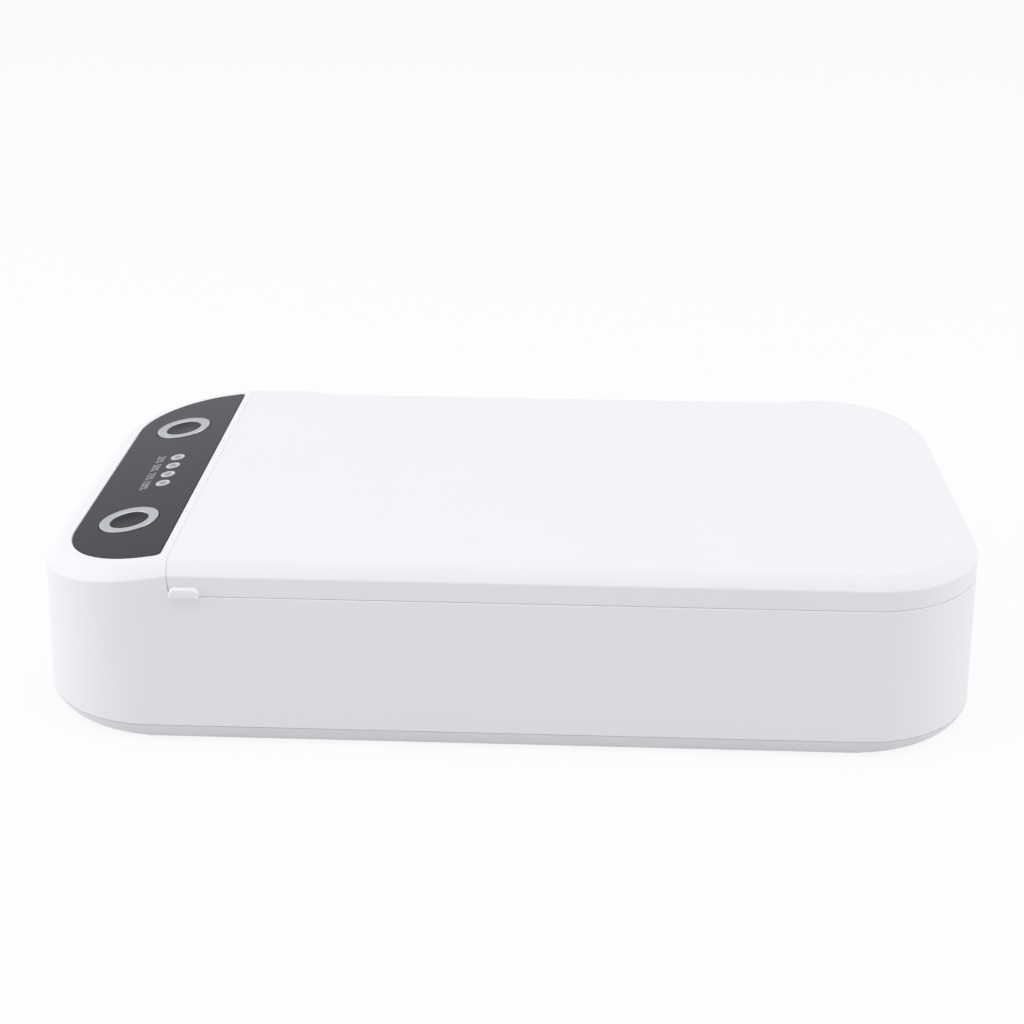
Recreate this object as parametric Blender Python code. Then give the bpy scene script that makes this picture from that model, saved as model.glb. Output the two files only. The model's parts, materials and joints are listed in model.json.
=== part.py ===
"""UV sanitizer box for phones: a lidded chamber beside a control head with two push buttons.

Metres, +Z up, front towards -Y. The origin is on the floor, under the middle of the box.
Run it with blender --background --python part.py, or from the text editor.
"""

import math

import bmesh
import bpy
from mathutils import Matrix, Vector

# Body, as its outside shows it
BODY_LENGTH = 0.215
BODY_DEPTH = 0.119
BODY_HEIGHT = 0.0424
CORNER_RADIUS = 0.028
WALL_DRAFT = 0.0015
SHOULDER_WIDTH = 0.0034
SHOULDER_DROP = 0.0031
SHOULDER_BOW = 10
LID_HEIGHT = 0.0078
SEAM_HEIGHT = BODY_HEIGHT - LID_HEIGHT
HEAD_LENGTH = 0.0342
HEAD_SLOPE = 0.16

# Fits and cutters
CLEARANCE = 0.0003
COVER_GAP = 0.00015
OVERRUN = 0.002
OVERLAP = 0.0005

# Base shell
WALL = 0.0024
RIM_WALL = 0.0014
PARTITION = 0.002
PARTITION_FOOT = 0.0062
HEAD_SKIN = 0.004
INNER_RADIUS = 0.0015
POST_RADIUS = 0.0034
POST_TOP = 0.0105

# Bottom cover, its feet and its screws
COVER_HEIGHT = 0.00305
COVER_UNDERCUT = 0.0006
COVER_EXTRA_RADIUS = 0.0015
COVER_PLATE = 0.002
COVER_LIP = 0.0014
COVER_LIP_RISE = 0.0022
FOOT_HEIGHT = 0.001
FOOT_RADIUS = 0.005
FOOT_SEAT = 0.0008
FOOT_INSET = 0.0125
SCREW_HEAD_RADIUS = 0.0025
SCREW_HEAD_HEIGHT = 0.001
SCREW_SHANK_RADIUS = 0.0011
SCREW_LENGTH = 0.007
SCREW_SLOT_WIDTH = 0.0007
SCREW_SLOT_DEPTH = 0.0005

# Control panel in the head
PANEL_WIDTH = 0.0243
PANEL_END_MARGIN = 0.00695
PANEL_LENGTH = BODY_DEPTH - 2 * PANEL_END_MARGIN
PANEL_THICKNESS = 0.002
PANEL_MARGIN = 0.0024
PANEL_CORNER = 0.0207
PANEL_SMALL_CORNER = 0.0012
WINDOW_WIDTH = 0.019
WINDOW_END_MARGIN = 0.0123
WINDOW_LENGTH = PANEL_LENGTH - 2 * WINDOW_END_MARGIN

# Push buttons, their switches and the control board
BUTTON_END_MARGIN = 0.01015
BUTTON_SPACING = WINDOW_LENGTH - 2 * BUTTON_END_MARGIN
BUTTON_RADIUS = 0.007
BUTTON_PROUD = 0.00035
BUTTON_BEVEL = 0.0004
BUTTON_TRAVEL = 0.0005
BUTTON_FLANGE_WIDTH = 0.001
BUTTON_FLANGE_HEIGHT = 0.0008
BUTTON_STEM_RADIUS = 0.002
INLAY_RADIUS = 0.0046
INLAY_THICKNESS = 0.0008
INLAY_GAP = 0.0001
PLUNGER_RADIUS = 0.0017
PLUNGER_PROUD = 0.0009
PLUNGER_DEPTH = 0.0008
SWITCH_SIZE = 0.006
SWITCH_HEIGHT = 0.0036
BOARD_DEPTH = 0.009
BOARD_THICKNESS = 0.0016
BOARD_WIDTH = 0.02
BOARD_END_MARGIN = 0.00455
BOARD_LENGTH = PANEL_LENGTH - 2 * BOARD_END_MARGIN
BOARD_POST_RADIUS = 0.0026
BOARD_POST_END_MARGIN = 0.0045
BOARD_SCREW_RADIUS = 0.0008
BOARD_SCREW_HEAD_RADIUS = 0.002
BOARD_SCREW_HEAD_HEIGHT = 0.0012
BOARD_SCREW_BITE = 0.003

# Lamps of the level display
LENS_RADIUS = 0.0018
LENS_PITCH = 0.00567
LENS_OFFSET = 0.0031
LENS_PROUD = 0.0001
LENS_HOLE_GAP = 0.0002
LENS_COUNT = 4
DIODE_LENGTH = 0.002
DIODE_WIDTH = 0.0013
DIODE_HEIGHT = 0.0008

# Chamber liner
FLANGE_THICKNESS = 0.0012
FLANGE_WIDTH = 0.0055
FLANGE_SETBACK = 0.0002
BOWL_FLOOR = 0.0125
BOWL_WALL = 0.0014
BOWL_DRAFT = 0.002
BOWL_CORNER = 0.014
TROUGH_WIDTH = 0.014
TROUGH_DEPTH = 0.0062
TROUGH_END_MARGIN = 0.008
TROUGH_CORNER = 0.003
REST_RIB_HEIGHT = 0.0022
REST_RIB_WIDTH = 0.0018
REST_RIB_LENGTH = 0.026
REST_RIB_COUNT = 5
AROMA_RADIUS = 0.0065
AROMA_DEPTH = 0.003
AROMA_MARGIN = 0.0075

# Lamp, its holders and the clear window over it
LAMP_RADIUS = 0.002
LAMP_CAP_LENGTH = 0.008
LAMP_CAP_WIDTH = 0.0072
LAMP_CAP_HEIGHT = 0.0058
LAMP_CAP_GRIP = 0.005
LAMP_CAP_CORNER = 0.0008
WINDOW_PLATE = 0.0012
WINDOW_LAP = 0.003
LEAD_RADIUS = 0.0007
LEAD_ENTRY = 0.0018

# Lid
LID_WALL = 0.002
LID_GAP = 0.00035
NOTCH_DEPTH = 0.0023
NOTCH_LEFT_MARGIN = 0.0193
NOTCH_RIGHT_MARGIN = 0.034
NOTCH_RAMP = 0.0085
TAB_WIDTH = 0.0066
TAB_HEIGHT = 0.0019
TAB_MARGIN = 0.0007
TAB_LIFT = 0.0003
TAB_SIDE = 0.0006
TAB_CORNER = 0.0012
TAB_EDGE = 0.0004
LINER_GAP = 0.0008
LINER_THICKNESS = 0.0012
LID_POST_RADIUS = 0.0026
LID_SCREW_INSET_X = 0.016
LID_SCREW_INSET_Y = 0.0105
LID_SCREW_BITE = 0.003
MAGNET_RADIUS = 0.0025
MAGNET_HEIGHT = 0.002
REED_RADIUS = 0.001
REED_LENGTH = 0.014

# Hinges
HINGE_RADIUS = 0.0015
HINGE_LID_KNUCKLE = 0.0074
HINGE_BASE_KNUCKLE = 0.008
HINGE_END_MARGIN = 0.018575
NOTCH_LENGTH = BODY_LENGTH - HEAD_LENGTH - LID_GAP - NOTCH_LEFT_MARGIN - NOTCH_RIGHT_MARGIN
HINGE_SPACING = NOTCH_LENGTH - 2 * HINGE_END_MARGIN
HINGE_ARM_HEIGHT = 0.0022
HINGE_NECK_DROP = 0.0022
PIN_RADIUS = 0.0008
PIN_GAP = 0.00025

# Driver board and what stands on it
DRIVER_WIDTH = 0.023
DRIVER_STANDOFF = 0.0062
DRIVER_POST_RADIUS = 0.0024
TRANSFORMER_LENGTH = 0.014
TRANSFORMER_WIDTH = 0.012
TRANSFORMER_HEIGHT = 0.0095
TRANSFORMER_CORNER = 0.001
CAPACITOR_RADIUS = 0.004
CAPACITOR_HEIGHT = 0.009
SOCKET_WIDTH = 0.009
SOCKET_HEIGHT = 0.0032
DRIVER_END_MARGIN = 0.0115
DRIVER_LENGTH = SOCKET_WIDTH + 2 * (TRANSFORMER_WIDTH + DRIVER_END_MARGIN)
SOCKET_LENGTH = 0.0075
SOCKET_CORNER = 0.0015
SOCKET_SHELL = 0.0003
TONGUE_THICKNESS = 0.0007
TONGUE_WIDTH = 0.0064
TONGUE_SETBACK = 0.0008
HARNESS_RADIUS = 0.0011

# How finely round stretches are cut
CORNER_STEPS = 10
SMALL_STEPS = 3
ROUND_STEPS = 16
FINE_STEPS = 32
SHOULDER_STEPS = 4
NOTCH_STEPS = 6
LEAD_RESOLUTION = 2
LEAD_BEND = 1.5
BEND_STEPS = 5

# Places that several pieces share
FLOOR_Z = FOOT_HEIGHT
TOP_Z = FLOOR_Z + BODY_HEIGHT
SEAM_Z = FLOOR_Z + SEAM_HEIGHT
COVER_TOP_Z = FLOOR_Z + COVER_HEIGHT
PLATE_Z = FLOOR_Z + COVER_PLATE
HALF_LENGTH = BODY_LENGTH / 2
HALF_DEPTH = BODY_DEPTH / 2
HEAD_X = HEAD_LENGTH - HALF_LENGTH
LID_X = HEAD_X + LID_GAP
PANEL_U = -(PANEL_MARGIN + PANEL_WIDTH / 2)
SEAM_INSET = WALL_DRAFT * SEAM_HEIGHT / BODY_HEIGHT
REAR_WALL_Y = HALF_DEPTH - SEAM_INSET
HINGE_Y = REAR_WALL_Y
HINGE_Z = SEAM_Z + CLEARANCE + HINGE_RADIUS
FLANGE_TOP_Z = SEAM_Z - FLANGE_SETBACK
BOWL_FLOOR_Z = FLOOR_Z + BOWL_FLOOR
BOWL_LEFT = HEAD_X + CLEARANCE + FLANGE_WIDTH
BOWL_RIGHT = HALF_LENGTH - SEAM_INSET - RIM_WALL - CLEARANCE - FLANGE_WIDTH
BOWL_HALF_DEPTH = HALF_DEPTH - SEAM_INSET - RIM_WALL - CLEARANCE - FLANGE_WIDTH
TROUGH_LEFT = BOWL_LEFT + BOWL_DRAFT + TROUGH_END_MARGIN
TROUGH_RIGHT = BOWL_RIGHT - BOWL_DRAFT - TROUGH_END_MARGIN
TROUGH_FLOOR_Z = BOWL_FLOOR_Z - TROUGH_DEPTH
LINER_Z = SEAM_Z + LINER_GAP
DRIVER_X = (HEAD_X - PARTITION - HALF_LENGTH + WALL) / 2
DRIVER_Z = PLATE_Z + DRIVER_STANDOFF + CLEARANCE
DRIVER_TOP_Z = DRIVER_Z + BOARD_THICKNESS
SOCKET_Z = DRIVER_TOP_Z + CLEARANCE + SOCKET_HEIGHT / 2

# Colour, roughness and metallic value of each material
FINISHES = {
    "white_gloss": ((0.86, 0.86, 0.89), 0.22, 0.0),
    "white_satin": ((0.80, 0.80, 0.83), 0.4, 0.0),
    "black_gloss": ((0.035, 0.035, 0.04), 0.12, 0.0),
    "silver_satin": ((0.62, 0.63, 0.66), 0.32, 0.85),
    "rubber_grey": ((0.12, 0.12, 0.13), 0.85, 0.0),
    "screw_steel": ((0.45, 0.45, 0.47), 0.35, 1.0),
    "lens_white": ((0.80, 0.81, 0.84), 0.3, 0.0),
    "board_green": ((0.03, 0.16, 0.07), 0.5, 0.0),
    "chip_black": ((0.02, 0.02, 0.02), 0.5, 0.0),
    "mirror_liner": ((0.75, 0.76, 0.78), 0.15, 0.9),
    "lamp_glass": ((0.82, 0.87, 0.92), 0.05, 0.0),
    "clear_window": ((0.88, 0.92, 0.94), 0.04, 0.0),
    "felt_grey": ((0.55, 0.52, 0.48), 0.95, 0.0),
    "copper_tape": ((0.55, 0.27, 0.10), 0.4, 0.8),
    "lead_white": ((0.75, 0.75, 0.75), 0.6, 0.0),
    "magnet_nickel": ((0.55, 0.54, 0.52), 0.25, 1.0),
}


def clear_scene():
    """Removes what the scene holds already."""
    for old in list(bpy.data.objects):
        bpy.data.objects.remove(old, do_unlink=True)


def material(name):
    """The Principled material of this name, made once."""
    made = bpy.data.materials.get(name)
    if made is None:
        colour, roughness, metallic = FINISHES[name]
        made = bpy.data.materials.new(name)
        made.use_nodes = True
        shader = made.node_tree.nodes["Principled BSDF"]
        shader.inputs["Base Color"].default_value = (*colour, 1.0)
        shader.inputs["Roughness"].default_value = roughness
        shader.inputs["Metallic"].default_value = metallic
    return made


def arc(centre, radius, start, steps):
    """Points of a quarter circle, anticlockwise from an angle in degrees."""
    if radius <= 0:
        return [centre]
    turn = [math.radians(start + 90 * i / steps) for i in range(steps + 1)]
    return [(centre[0] + radius * math.cos(a), centre[1] + radius * math.sin(a)) for a in turn]


def round_rect(left, right, front, rear, left_radius, right_radius, steps=CORNER_STEPS):
    """A rectangle with round corners, as an anticlockwise outline from its rear right corner."""
    spots = (
        ((right - right_radius, rear - right_radius), right_radius, 0),
        ((left + left_radius, rear - left_radius), left_radius, 90),
        ((left + left_radius, front + left_radius), left_radius, 180),
        ((right - right_radius, front + right_radius), right_radius, 270),
    )
    return [point for spot, radius, start in spots for point in arc(spot, radius, start, steps)]


def centred_rect(length, width, radius, steps=SMALL_STEPS, middle=(0, 0)):
    """A rectangle with round corners about a middle point."""
    x, y = middle
    return round_rect(x - length / 2, x + length / 2, y - width / 2, y + width / 2, radius, radius, steps)


def circle(radius, steps=ROUND_STEPS, middle=(0, 0)):
    """Points of a full circle."""
    turn = [2 * math.pi * i / steps for i in range(steps)]
    return [(middle[0] + radius * math.cos(a), middle[1] + radius * math.sin(a)) for a in turn]


def body_outline(inset, extra_radius=0):
    """The body's plan, set in by a distance."""
    radius = CORNER_RADIUS - inset + extra_radius
    right, rear = HALF_LENGTH - inset, HALF_DEPTH - inset
    return round_rect(-right, right, -rear, rear, radius, radius)


def draft_at(z):
    """How far the drafted walls have leaned in at a height."""
    return WALL_DRAFT * (z - FLOOR_Z) / BODY_HEIGHT


def slope_drop(x):
    """How far the head's sloped top lies under the lid's top."""
    return HEAD_SLOPE * max(0, HEAD_X - x)


def level(points, z):
    """An outline laid at a height."""
    return [(x, y, z) for x, y in points]


def sloped(points, z):
    """An outline laid at a height that falls away with the head's slope."""
    return [(x, y, z - slope_drop(x)) for x, y in points]


def notched(points, inset):
    """An outline whose rear side steps in where the hinges stand."""
    left, right = LID_X + NOTCH_LEFT_MARGIN, HALF_LENGTH - NOTCH_RIGHT_MARGIN
    rear = HALF_DEPTH - inset
    stops = []
    for end, other in ((right, left), (left, right)):
        side = 1 if end > other else -1
        run = [end + side * NOTCH_RAMP * (0.5 - i / NOTCH_STEPS) for i in range(NOTCH_STEPS + 1)]
        depth = [NOTCH_DEPTH * (1 - math.cos(math.pi * i / NOTCH_STEPS)) / 2 for i in range(NOTCH_STEPS + 1)]
        ramp = [(x, rear - d) for x, d in zip(run, depth)]
        stops += ramp if side > 0 else ramp[::-1]
    first = CORNER_STEPS + 1
    return points[:first] + stops + points[first:]


def loft(sections):
    """A closed solid through a stack of outlines with as many points each."""
    shape = bmesh.new()
    rings = [[shape.verts.new(point) for point in section] for section in sections]
    for ring, above in zip(rings, rings[1:]):
        for i, vert in enumerate(ring):
            shape.faces.new((ring[i - 1], vert, above[i], above[i - 1]))
    shape.faces.new(rings[0])
    shape.faces.new(rings[-1])
    bmesh.ops.recalc_face_normals(shape, faces=shape.faces)
    return shape


def prism(points, low, high):
    """An outline raised from one height to another."""
    return loft([level(points, low), level(points, high)])


def box(x0, x1, y0, y1, z0, z1):
    """A plain block."""
    return prism([(x1, y1), (x0, y1), (x0, y0), (x1, y0)], z0, z1)


def bar(radius, start, end, y, z, steps=ROUND_STEPS):
    """A round bar along X."""
    rings = [[(x, y + a, z + b) for a, b in circle(radius, steps)] for x in (start, end)]
    return loft(rings)


def into_object(name, shape, pivot):
    """A new object of a mesh, with its origin on the pivot."""
    bmesh.ops.translate(shape, verts=shape.verts, vec=-Vector(pivot))
    mesh = bpy.data.meshes.new(name)
    shape.to_mesh(mesh)
    shape.free()
    mesh.shade_smooth()
    mesh.set_sharp_from_angle(angle=math.radians(30))
    made = bpy.data.objects.new(name, mesh)
    made.location = pivot
    bpy.context.scene.collection.objects.link(made)
    return made


def piece(name, shape, finish, pivot=(0, 0, 0), parent=None):
    """One real piece of the object, with its material."""
    made = into_object(name, shape, pivot)
    made.data.materials.append(material(finish))
    made.parent = parent
    return made


def tool(name, shape, parent=None):
    """A helper that cuts or joins, left out of the model."""
    made = into_object(name, shape, (0, 0, 0))
    made.hide_render = True
    made.display_type = "WIRE"
    made.parent = parent
    return made


def combine(target, operation, *tools):
    """Boolean steps on a piece, in order."""
    for helper in tools:
        step = target.modifiers.new(helper.name, "BOOLEAN")
        step.operation = operation
        step.solver = "EXACT"
        step.object = helper


def cut(target, *tools):
    combine(target, "DIFFERENCE", *tools)


def join(target, *tools):
    combine(target, "UNION", *tools)


def empty(name, matrix):
    """A frame that pieces are placed in."""
    made = bpy.data.objects.new(name, None)
    made.matrix_world = matrix
    bpy.context.scene.collection.objects.link(made)
    return made


def panel_frame():
    """The head's sloped top: its origin on the line where the lid begins, +X up the slope."""
    turn = Matrix.Rotation(-math.atan(HEAD_SLOPE), 4, "Y")
    return empty("panel_frame", Matrix.Translation((HEAD_X, 0, TOP_Z)) @ turn)


def shoulder_rings(extra=0):
    """Insets and heights of the bowed shoulder, from its crisp lower edge to the flat top."""
    incline = math.atan2(SHOULDER_DROP, SHOULDER_WIDTH)
    bow = math.radians(SHOULDER_BOW)
    flattest = incline - bow
    radius = math.hypot(SHOULDER_WIDTH, SHOULDER_DROP) / (2 * math.sin(bow))
    rings = []
    for i in range(SHOULDER_STEPS + 1):
        angle = incline + bow - 2 * bow * i / SHOULDER_STEPS
        inset = SHOULDER_WIDTH - radius * (math.sin(angle) - math.sin(flattest))
        z = TOP_Z - radius * (math.cos(flattest) - math.cos(angle))
        rings.append((draft_at(z) + inset + extra, z))
    return rings


def corner_posts():
    """Middles of the four screw posts, tucked into the corners of the base."""
    reach = (CORNER_RADIUS - WALL - SCREW_HEAD_RADIUS) * math.sqrt(0.5)
    x, y = HALF_LENGTH - CORNER_RADIUS + reach, HALF_DEPTH - CORNER_RADIUS + reach
    return [(sx * x, sy * y) for sx in (-1, 1) for sy in (-1, 1)]


def foot_middles():
    """Middles of the four feet, on the cover's straight stretches."""
    x, y = HALF_LENGTH - CORNER_RADIUS, HALF_DEPTH - FOOT_INSET
    return [(sx * x, sy * y) for sx in (-1, 1) for sy in (-1, 1)]


def board_screw_spots():
    """Places of the control board's two screws, along the panel."""
    return [side * (BOARD_LENGTH / 2 - BOARD_POST_END_MARGIN) for side in (-1, 1)]


def lens_spots():
    """Places of the display's lenses along the panel, from the front to the rear."""
    return [LENS_PITCH * (i - (LENS_COUNT - 1) / 2) for i in range(LENS_COUNT)]


def panel_outline(grow):
    """The control panel's outline in the head's frame, grown by a distance."""
    left, right = -PANEL_MARGIN - PANEL_WIDTH - grow, grow - PANEL_MARGIN
    half = PANEL_LENGTH / 2 + grow
    return round_rect(left, right, -half, half, PANEL_CORNER + grow, PANEL_SMALL_CORNER + grow)


def hinge_middles():
    """Where the two hinges stand along the notch."""
    middle = (LID_X + NOTCH_LEFT_MARGIN + HALF_LENGTH - NOTCH_RIGHT_MARGIN) / 2
    return [middle - HINGE_SPACING / 2, middle + HINGE_SPACING / 2]


def base_shell(head):
    """The outer tub with the control head moulded on its left end."""
    foot = COVER_TOP_Z + COVER_GAP
    rings = [(draft_at(foot), foot)] + shoulder_rings()
    block = loft([level(body_outline(inset), z) for inset, z in rings])
    everything = block.verts[:] + block.edges[:] + block.faces[:]
    bmesh.ops.bisect_plane(block, geom=everything, plane_co=(HEAD_X, 0, 0), plane_no=(1, 0, 0))
    for vert in block.verts:
        if vert.co.z > foot + OVERLAP:
            vert.co.z -= slope_drop(vert.co.x)
    shell = piece("base_shell", block, "white_gloss")

    far = HALF_LENGTH + OVERRUN
    wide = HALF_DEPTH + OVERRUN
    high = TOP_Z + OVERRUN
    lid_bay = box(HEAD_X, far, -wide, wide, SEAM_Z, high)
    under_floor = prism(body_outline(WALL), -OVERRUN, FLOOR_Z + PARTITION_FOOT)

    left = HEAD_X + CLEARANCE
    ledge_z = FLANGE_TOP_Z - FLANGE_THICKNESS - CLEARANCE
    bay_low, bay_high = FLOOR_Z + COVER_HEIGHT, ledge_z
    bay = []
    for z, wall in ((bay_low, WALL), (bay_high, WALL)):
        inset = wall + draft_at(z)
        bay.append(level(chamber_outline(left, inset), z))
    rim = []
    for z in (ledge_z - OVERLAP, high):
        rim.append(level(chamber_outline(left, RIM_WALL + SEAM_INSET), z))

    pocket_right = HEAD_X - PARTITION
    inset = WALL + WALL_DRAFT
    rear = HALF_DEPTH - inset
    radius = CORNER_RADIUS - inset
    pocket = round_rect(inset - HALF_LENGTH, pocket_right, -rear, rear, radius, INNER_RADIUS)
    head_room = loft([level(pocket, bay_low), sloped(pocket, TOP_Z - HEAD_SKIN)])
    cut(
        shell,
        tool("cut_lid_bay", lid_bay),
        tool("cut_under_floor", under_floor),
        tool("cut_chamber_bay", loft(bay)),
        tool("cut_rim", loft(rim)),
        tool("cut_head_room", head_room),
    )

    recess = prism(panel_outline(CLEARANCE), -PANEL_THICKNESS - CLEARANCE, OVERRUN)
    window = prism(
        centred_rect(WINDOW_WIDTH, WINDOW_LENGTH, BUTTON_RADIUS, middle=(PANEL_U, 0)),
        -HEAD_SKIN - OVERRUN,
        0,
    )
    cut(shell, tool("cut_panel_recess", recess, head), tool("cut_panel_window", window, head))

    for i, (x, y) in enumerate(corner_posts(), 1):
        post = prism(circle(POST_RADIUS, middle=(x, y)), PLATE_Z + CLEARANCE, FLOOR_Z + POST_TOP)
        join(shell, tool(f"join_corner_post_{i}", post))
        drill = circle(SCREW_SHANK_RADIUS + CLEARANCE, middle=(x, y))
        cut(shell, tool(f"cut_corner_post_{i}", prism(drill, 0, FLOOR_Z + SCREW_LENGTH + OVERRUN)))
    for i, y in enumerate(board_screw_spots(), 1):
        spot = (PANEL_U, y)
        post = prism(circle(BOARD_POST_RADIUS, middle=spot), CLEARANCE - BOARD_DEPTH, OVERLAP - HEAD_SKIN)
        join(shell, tool(f"join_board_post_{i}", post, head))
        drill = circle(BOARD_SCREW_RADIUS + LENS_HOLE_GAP, middle=spot)
        depth = BOARD_SCREW_BITE + OVERLAP
        cut(
            shell,
            tool(f"cut_board_post_{i}", prism(drill, -BOARD_DEPTH - OVERRUN, depth - BOARD_DEPTH), head),
        )

    wall_x = draft_at(SOCKET_Z) - HALF_LENGTH
    outline = centred_rect(SOCKET_WIDTH + 2 * CLEARANCE, SOCKET_HEIGHT + 2 * CLEARANCE, SOCKET_CORNER)
    slot = loft([socket_ring(outline, wall_x - OVERRUN), socket_ring(outline, wall_x + WALL + OVERRUN)])
    cut(shell, tool("cut_socket", slot))

    for i, x in enumerate(hinge_middles(), 1):
        low, high = x - HINGE_BASE_KNUCKLE / 2, x + HINGE_BASE_KNUCKLE / 2
        side = [
            (REAR_WALL_Y - RIM_WALL + CLEARANCE, HINGE_Z),
            (REAR_WALL_Y - RIM_WALL + CLEARANCE, SEAM_Z - HINGE_NECK_DROP),
            (REAR_WALL_Y, SEAM_Z - HINGE_NECK_DROP - HINGE_RADIUS),
            (HINGE_Y + HINGE_RADIUS, SEAM_Z - HINGE_NECK_DROP),
            (HINGE_Y + HINGE_RADIUS, HINGE_Z),
        ]
        neck = loft([[(end, y, z) for y, z in side] for end in (low, high)])
        barrel = bar(HINGE_RADIUS, low, high, HINGE_Y, HINGE_Z)
        hole = bar(PIN_RADIUS + PIN_GAP, low - OVERRUN, high + OVERRUN, HINGE_Y, HINGE_Z)
        join(shell, tool(f"join_base_neck_{i}", neck), tool(f"join_base_barrel_{i}", barrel))
        cut(shell, tool(f"cut_base_pin_{i}", hole))


def chamber_outline(left, inset, notch=False):
    """The plan of the bay beside the head, set in from the body's outside."""
    right, rear = HALF_LENGTH - inset, HALF_DEPTH - inset
    points = round_rect(left, right, -rear, rear, INNER_RADIUS, CORNER_RADIUS - inset)
    return notched(points, inset) if notch else points


def socket_ring(points, x):
    """An outline that stands across the left wall, at the socket."""
    return [(x, a, SOCKET_Z + b) for a, b in points]


def bottom_cover():
    """The plate that closes the box from below, with its lip, foot seats and screw holes."""
    low = level(body_outline(COVER_UNDERCUT, COVER_EXTRA_RADIUS), FLOOR_Z)
    high = level(body_outline(draft_at(COVER_TOP_Z)), COVER_TOP_Z)
    cover = piece("bottom_cover", loft([low, high]), "white_gloss")
    lip_inset = WALL + draft_at(COVER_TOP_Z) + CLEARANCE
    lip_top = COVER_TOP_Z + COVER_LIP_RISE
    lip = prism(body_outline(lip_inset), FLOOR_Z + OVERLAP, lip_top)
    inside = prism(body_outline(lip_inset + COVER_LIP), PLATE_Z, lip_top + OVERRUN)
    join(cover, tool("join_cover_lip", lip))
    cut(cover, tool("cut_cover_inside", inside))
    for i, (x, y) in enumerate(corner_posts(), 1):
        notch = prism(circle(POST_RADIUS + CLEARANCE, middle=(x, y)), PLATE_Z, lip_top + OVERRUN)
        head = circle(SCREW_HEAD_RADIUS + CLEARANCE, middle=(x, y))
        shank = circle(SCREW_SHANK_RADIUS + CLEARANCE, middle=(x, y))
        seat = prism(head, FLOOR_Z - OVERRUN, FLOOR_Z + SCREW_HEAD_HEIGHT + CLEARANCE)
        hole = prism(shank, FLOOR_Z - OVERRUN, PLATE_Z + OVERRUN)
        cut(
            cover,
            tool(f"cut_cover_post_{i}", notch),
            tool(f"cut_cover_head_{i}", seat),
            tool(f"cut_cover_shank_{i}", hole),
        )
    for i, (x, y) in enumerate(foot_middles(), 1):
        seat = prism(circle(FOOT_RADIUS + CLEARANCE, middle=(x, y)), FLOOR_Z - OVERRUN, FLOOR_Z + FOOT_SEAT)
        cut(cover, tool(f"cut_foot_seat_{i}", seat))
    for i, y in enumerate(driver_posts(), 1):
        post = prism(circle(DRIVER_POST_RADIUS, middle=(DRIVER_X, y)), FLOOR_Z + OVERLAP, DRIVER_Z - CLEARANCE)
        drill = circle(BOARD_SCREW_RADIUS + LENS_HOLE_GAP, middle=(DRIVER_X, y))
        low = DRIVER_Z - BOARD_SCREW_BITE - OVERLAP
        join(cover, tool(f"join_driver_post_{i}", post))
        cut(cover, tool(f"cut_driver_post_{i}", prism(drill, low, DRIVER_Z)))


def feet_and_screws():
    """Four rubber feet and the four screws beside them."""
    for i, (x, y) in enumerate(foot_middles(), 1):
        spot = (x, y)
        rim = circle(FOOT_RADIUS, middle=spot)
        sole = circle(FOOT_RADIUS - CLEARANCE, middle=spot)
        top = FLOOR_Z + FOOT_SEAT - CLEARANCE
        shape = loft([level(sole, 0), level(rim, CLEARANCE), level(rim, top)])
        piece(f"rubber_foot_{i}", shape, "rubber_grey")
    for i, (x, y) in enumerate(corner_posts(), 1):
        low = FLOOR_Z
        screw(f"bottom_screw_{i}", (x, y), low, 1, SCREW_HEAD_RADIUS, SCREW_HEAD_HEIGHT, SCREW_LENGTH)


def screw(name, spot, low, way, head_radius, head_height, length, parent=None, pivot=(0, 0, 0)):
    """A screw with a slotted head: way is 1 where it points up and -1 where it points down."""
    shank_radius = SCREW_SHANK_RADIUS if head_radius == SCREW_HEAD_RADIUS else BOARD_SCREW_RADIUS
    heights = [low, low + way * head_height, low + way * length]
    radii = [head_radius, head_radius, shank_radius, shank_radius]
    stack = [heights[0], heights[1], heights[1], heights[2]]
    rings = [level(circle(r, middle=spot), z) for r, z in zip(radii, stack)]
    body = piece(name, loft(rings), "screw_steel", pivot, parent)
    x, y = spot
    half = SCREW_SLOT_WIDTH / 2
    ends = sorted((low - way * OVERRUN, low + way * SCREW_SLOT_DEPTH))
    slot = box(x - head_radius - OVERRUN, x + head_radius + OVERRUN, y - half, y + half, *ends)
    cut(body, tool(f"cut_{name}_slot", slot, parent))
    return body


def control_panel(head):
    """The black panel, flush in the head's top, with its button and lens holes."""
    panel = piece("control_panel", prism(panel_outline(0), -PANEL_THICKNESS, 0), "black_gloss", parent=head)
    low, high = -PANEL_THICKNESS - OVERRUN, OVERRUN
    for name, side in (("front", -1), ("rear", 1)):
        spot = (PANEL_U, side * BUTTON_SPACING / 2)
        hole = prism(circle(BUTTON_RADIUS + CLEARANCE, FINE_STEPS, spot), low, high)
        cut(panel, tool(f"cut_{name}_button_hole", hole, head))
    for i, y in enumerate(lens_spots(), 1):
        spot = (PANEL_U + LENS_OFFSET, y)
        hole = prism(circle(LENS_RADIUS + LENS_HOLE_GAP, middle=spot), low, high)
        cut(panel, tool(f"cut_lens_hole_{i}", hole, head))


def display(head):
    """Four lenses in the panel, each over its own diode on the board."""
    diode_top = DIODE_HEIGHT + CLEARANCE - BOARD_DEPTH
    for i, y in enumerate(lens_spots(), 1):
        spot = (PANEL_U + LENS_OFFSET, y)
        shape = prism(circle(LENS_RADIUS, middle=spot), diode_top + CLEARANCE, LENS_PROUD)
        piece(f"led_lens_{i}", shape, "lens_white", parent=head)
        block = prism(centred_rect(DIODE_LENGTH, DIODE_WIDTH, 0, middle=spot), CLEARANCE - BOARD_DEPTH, diode_top)
        piece(f"led_diode_{i}", block, "lens_white", parent=head)


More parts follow.
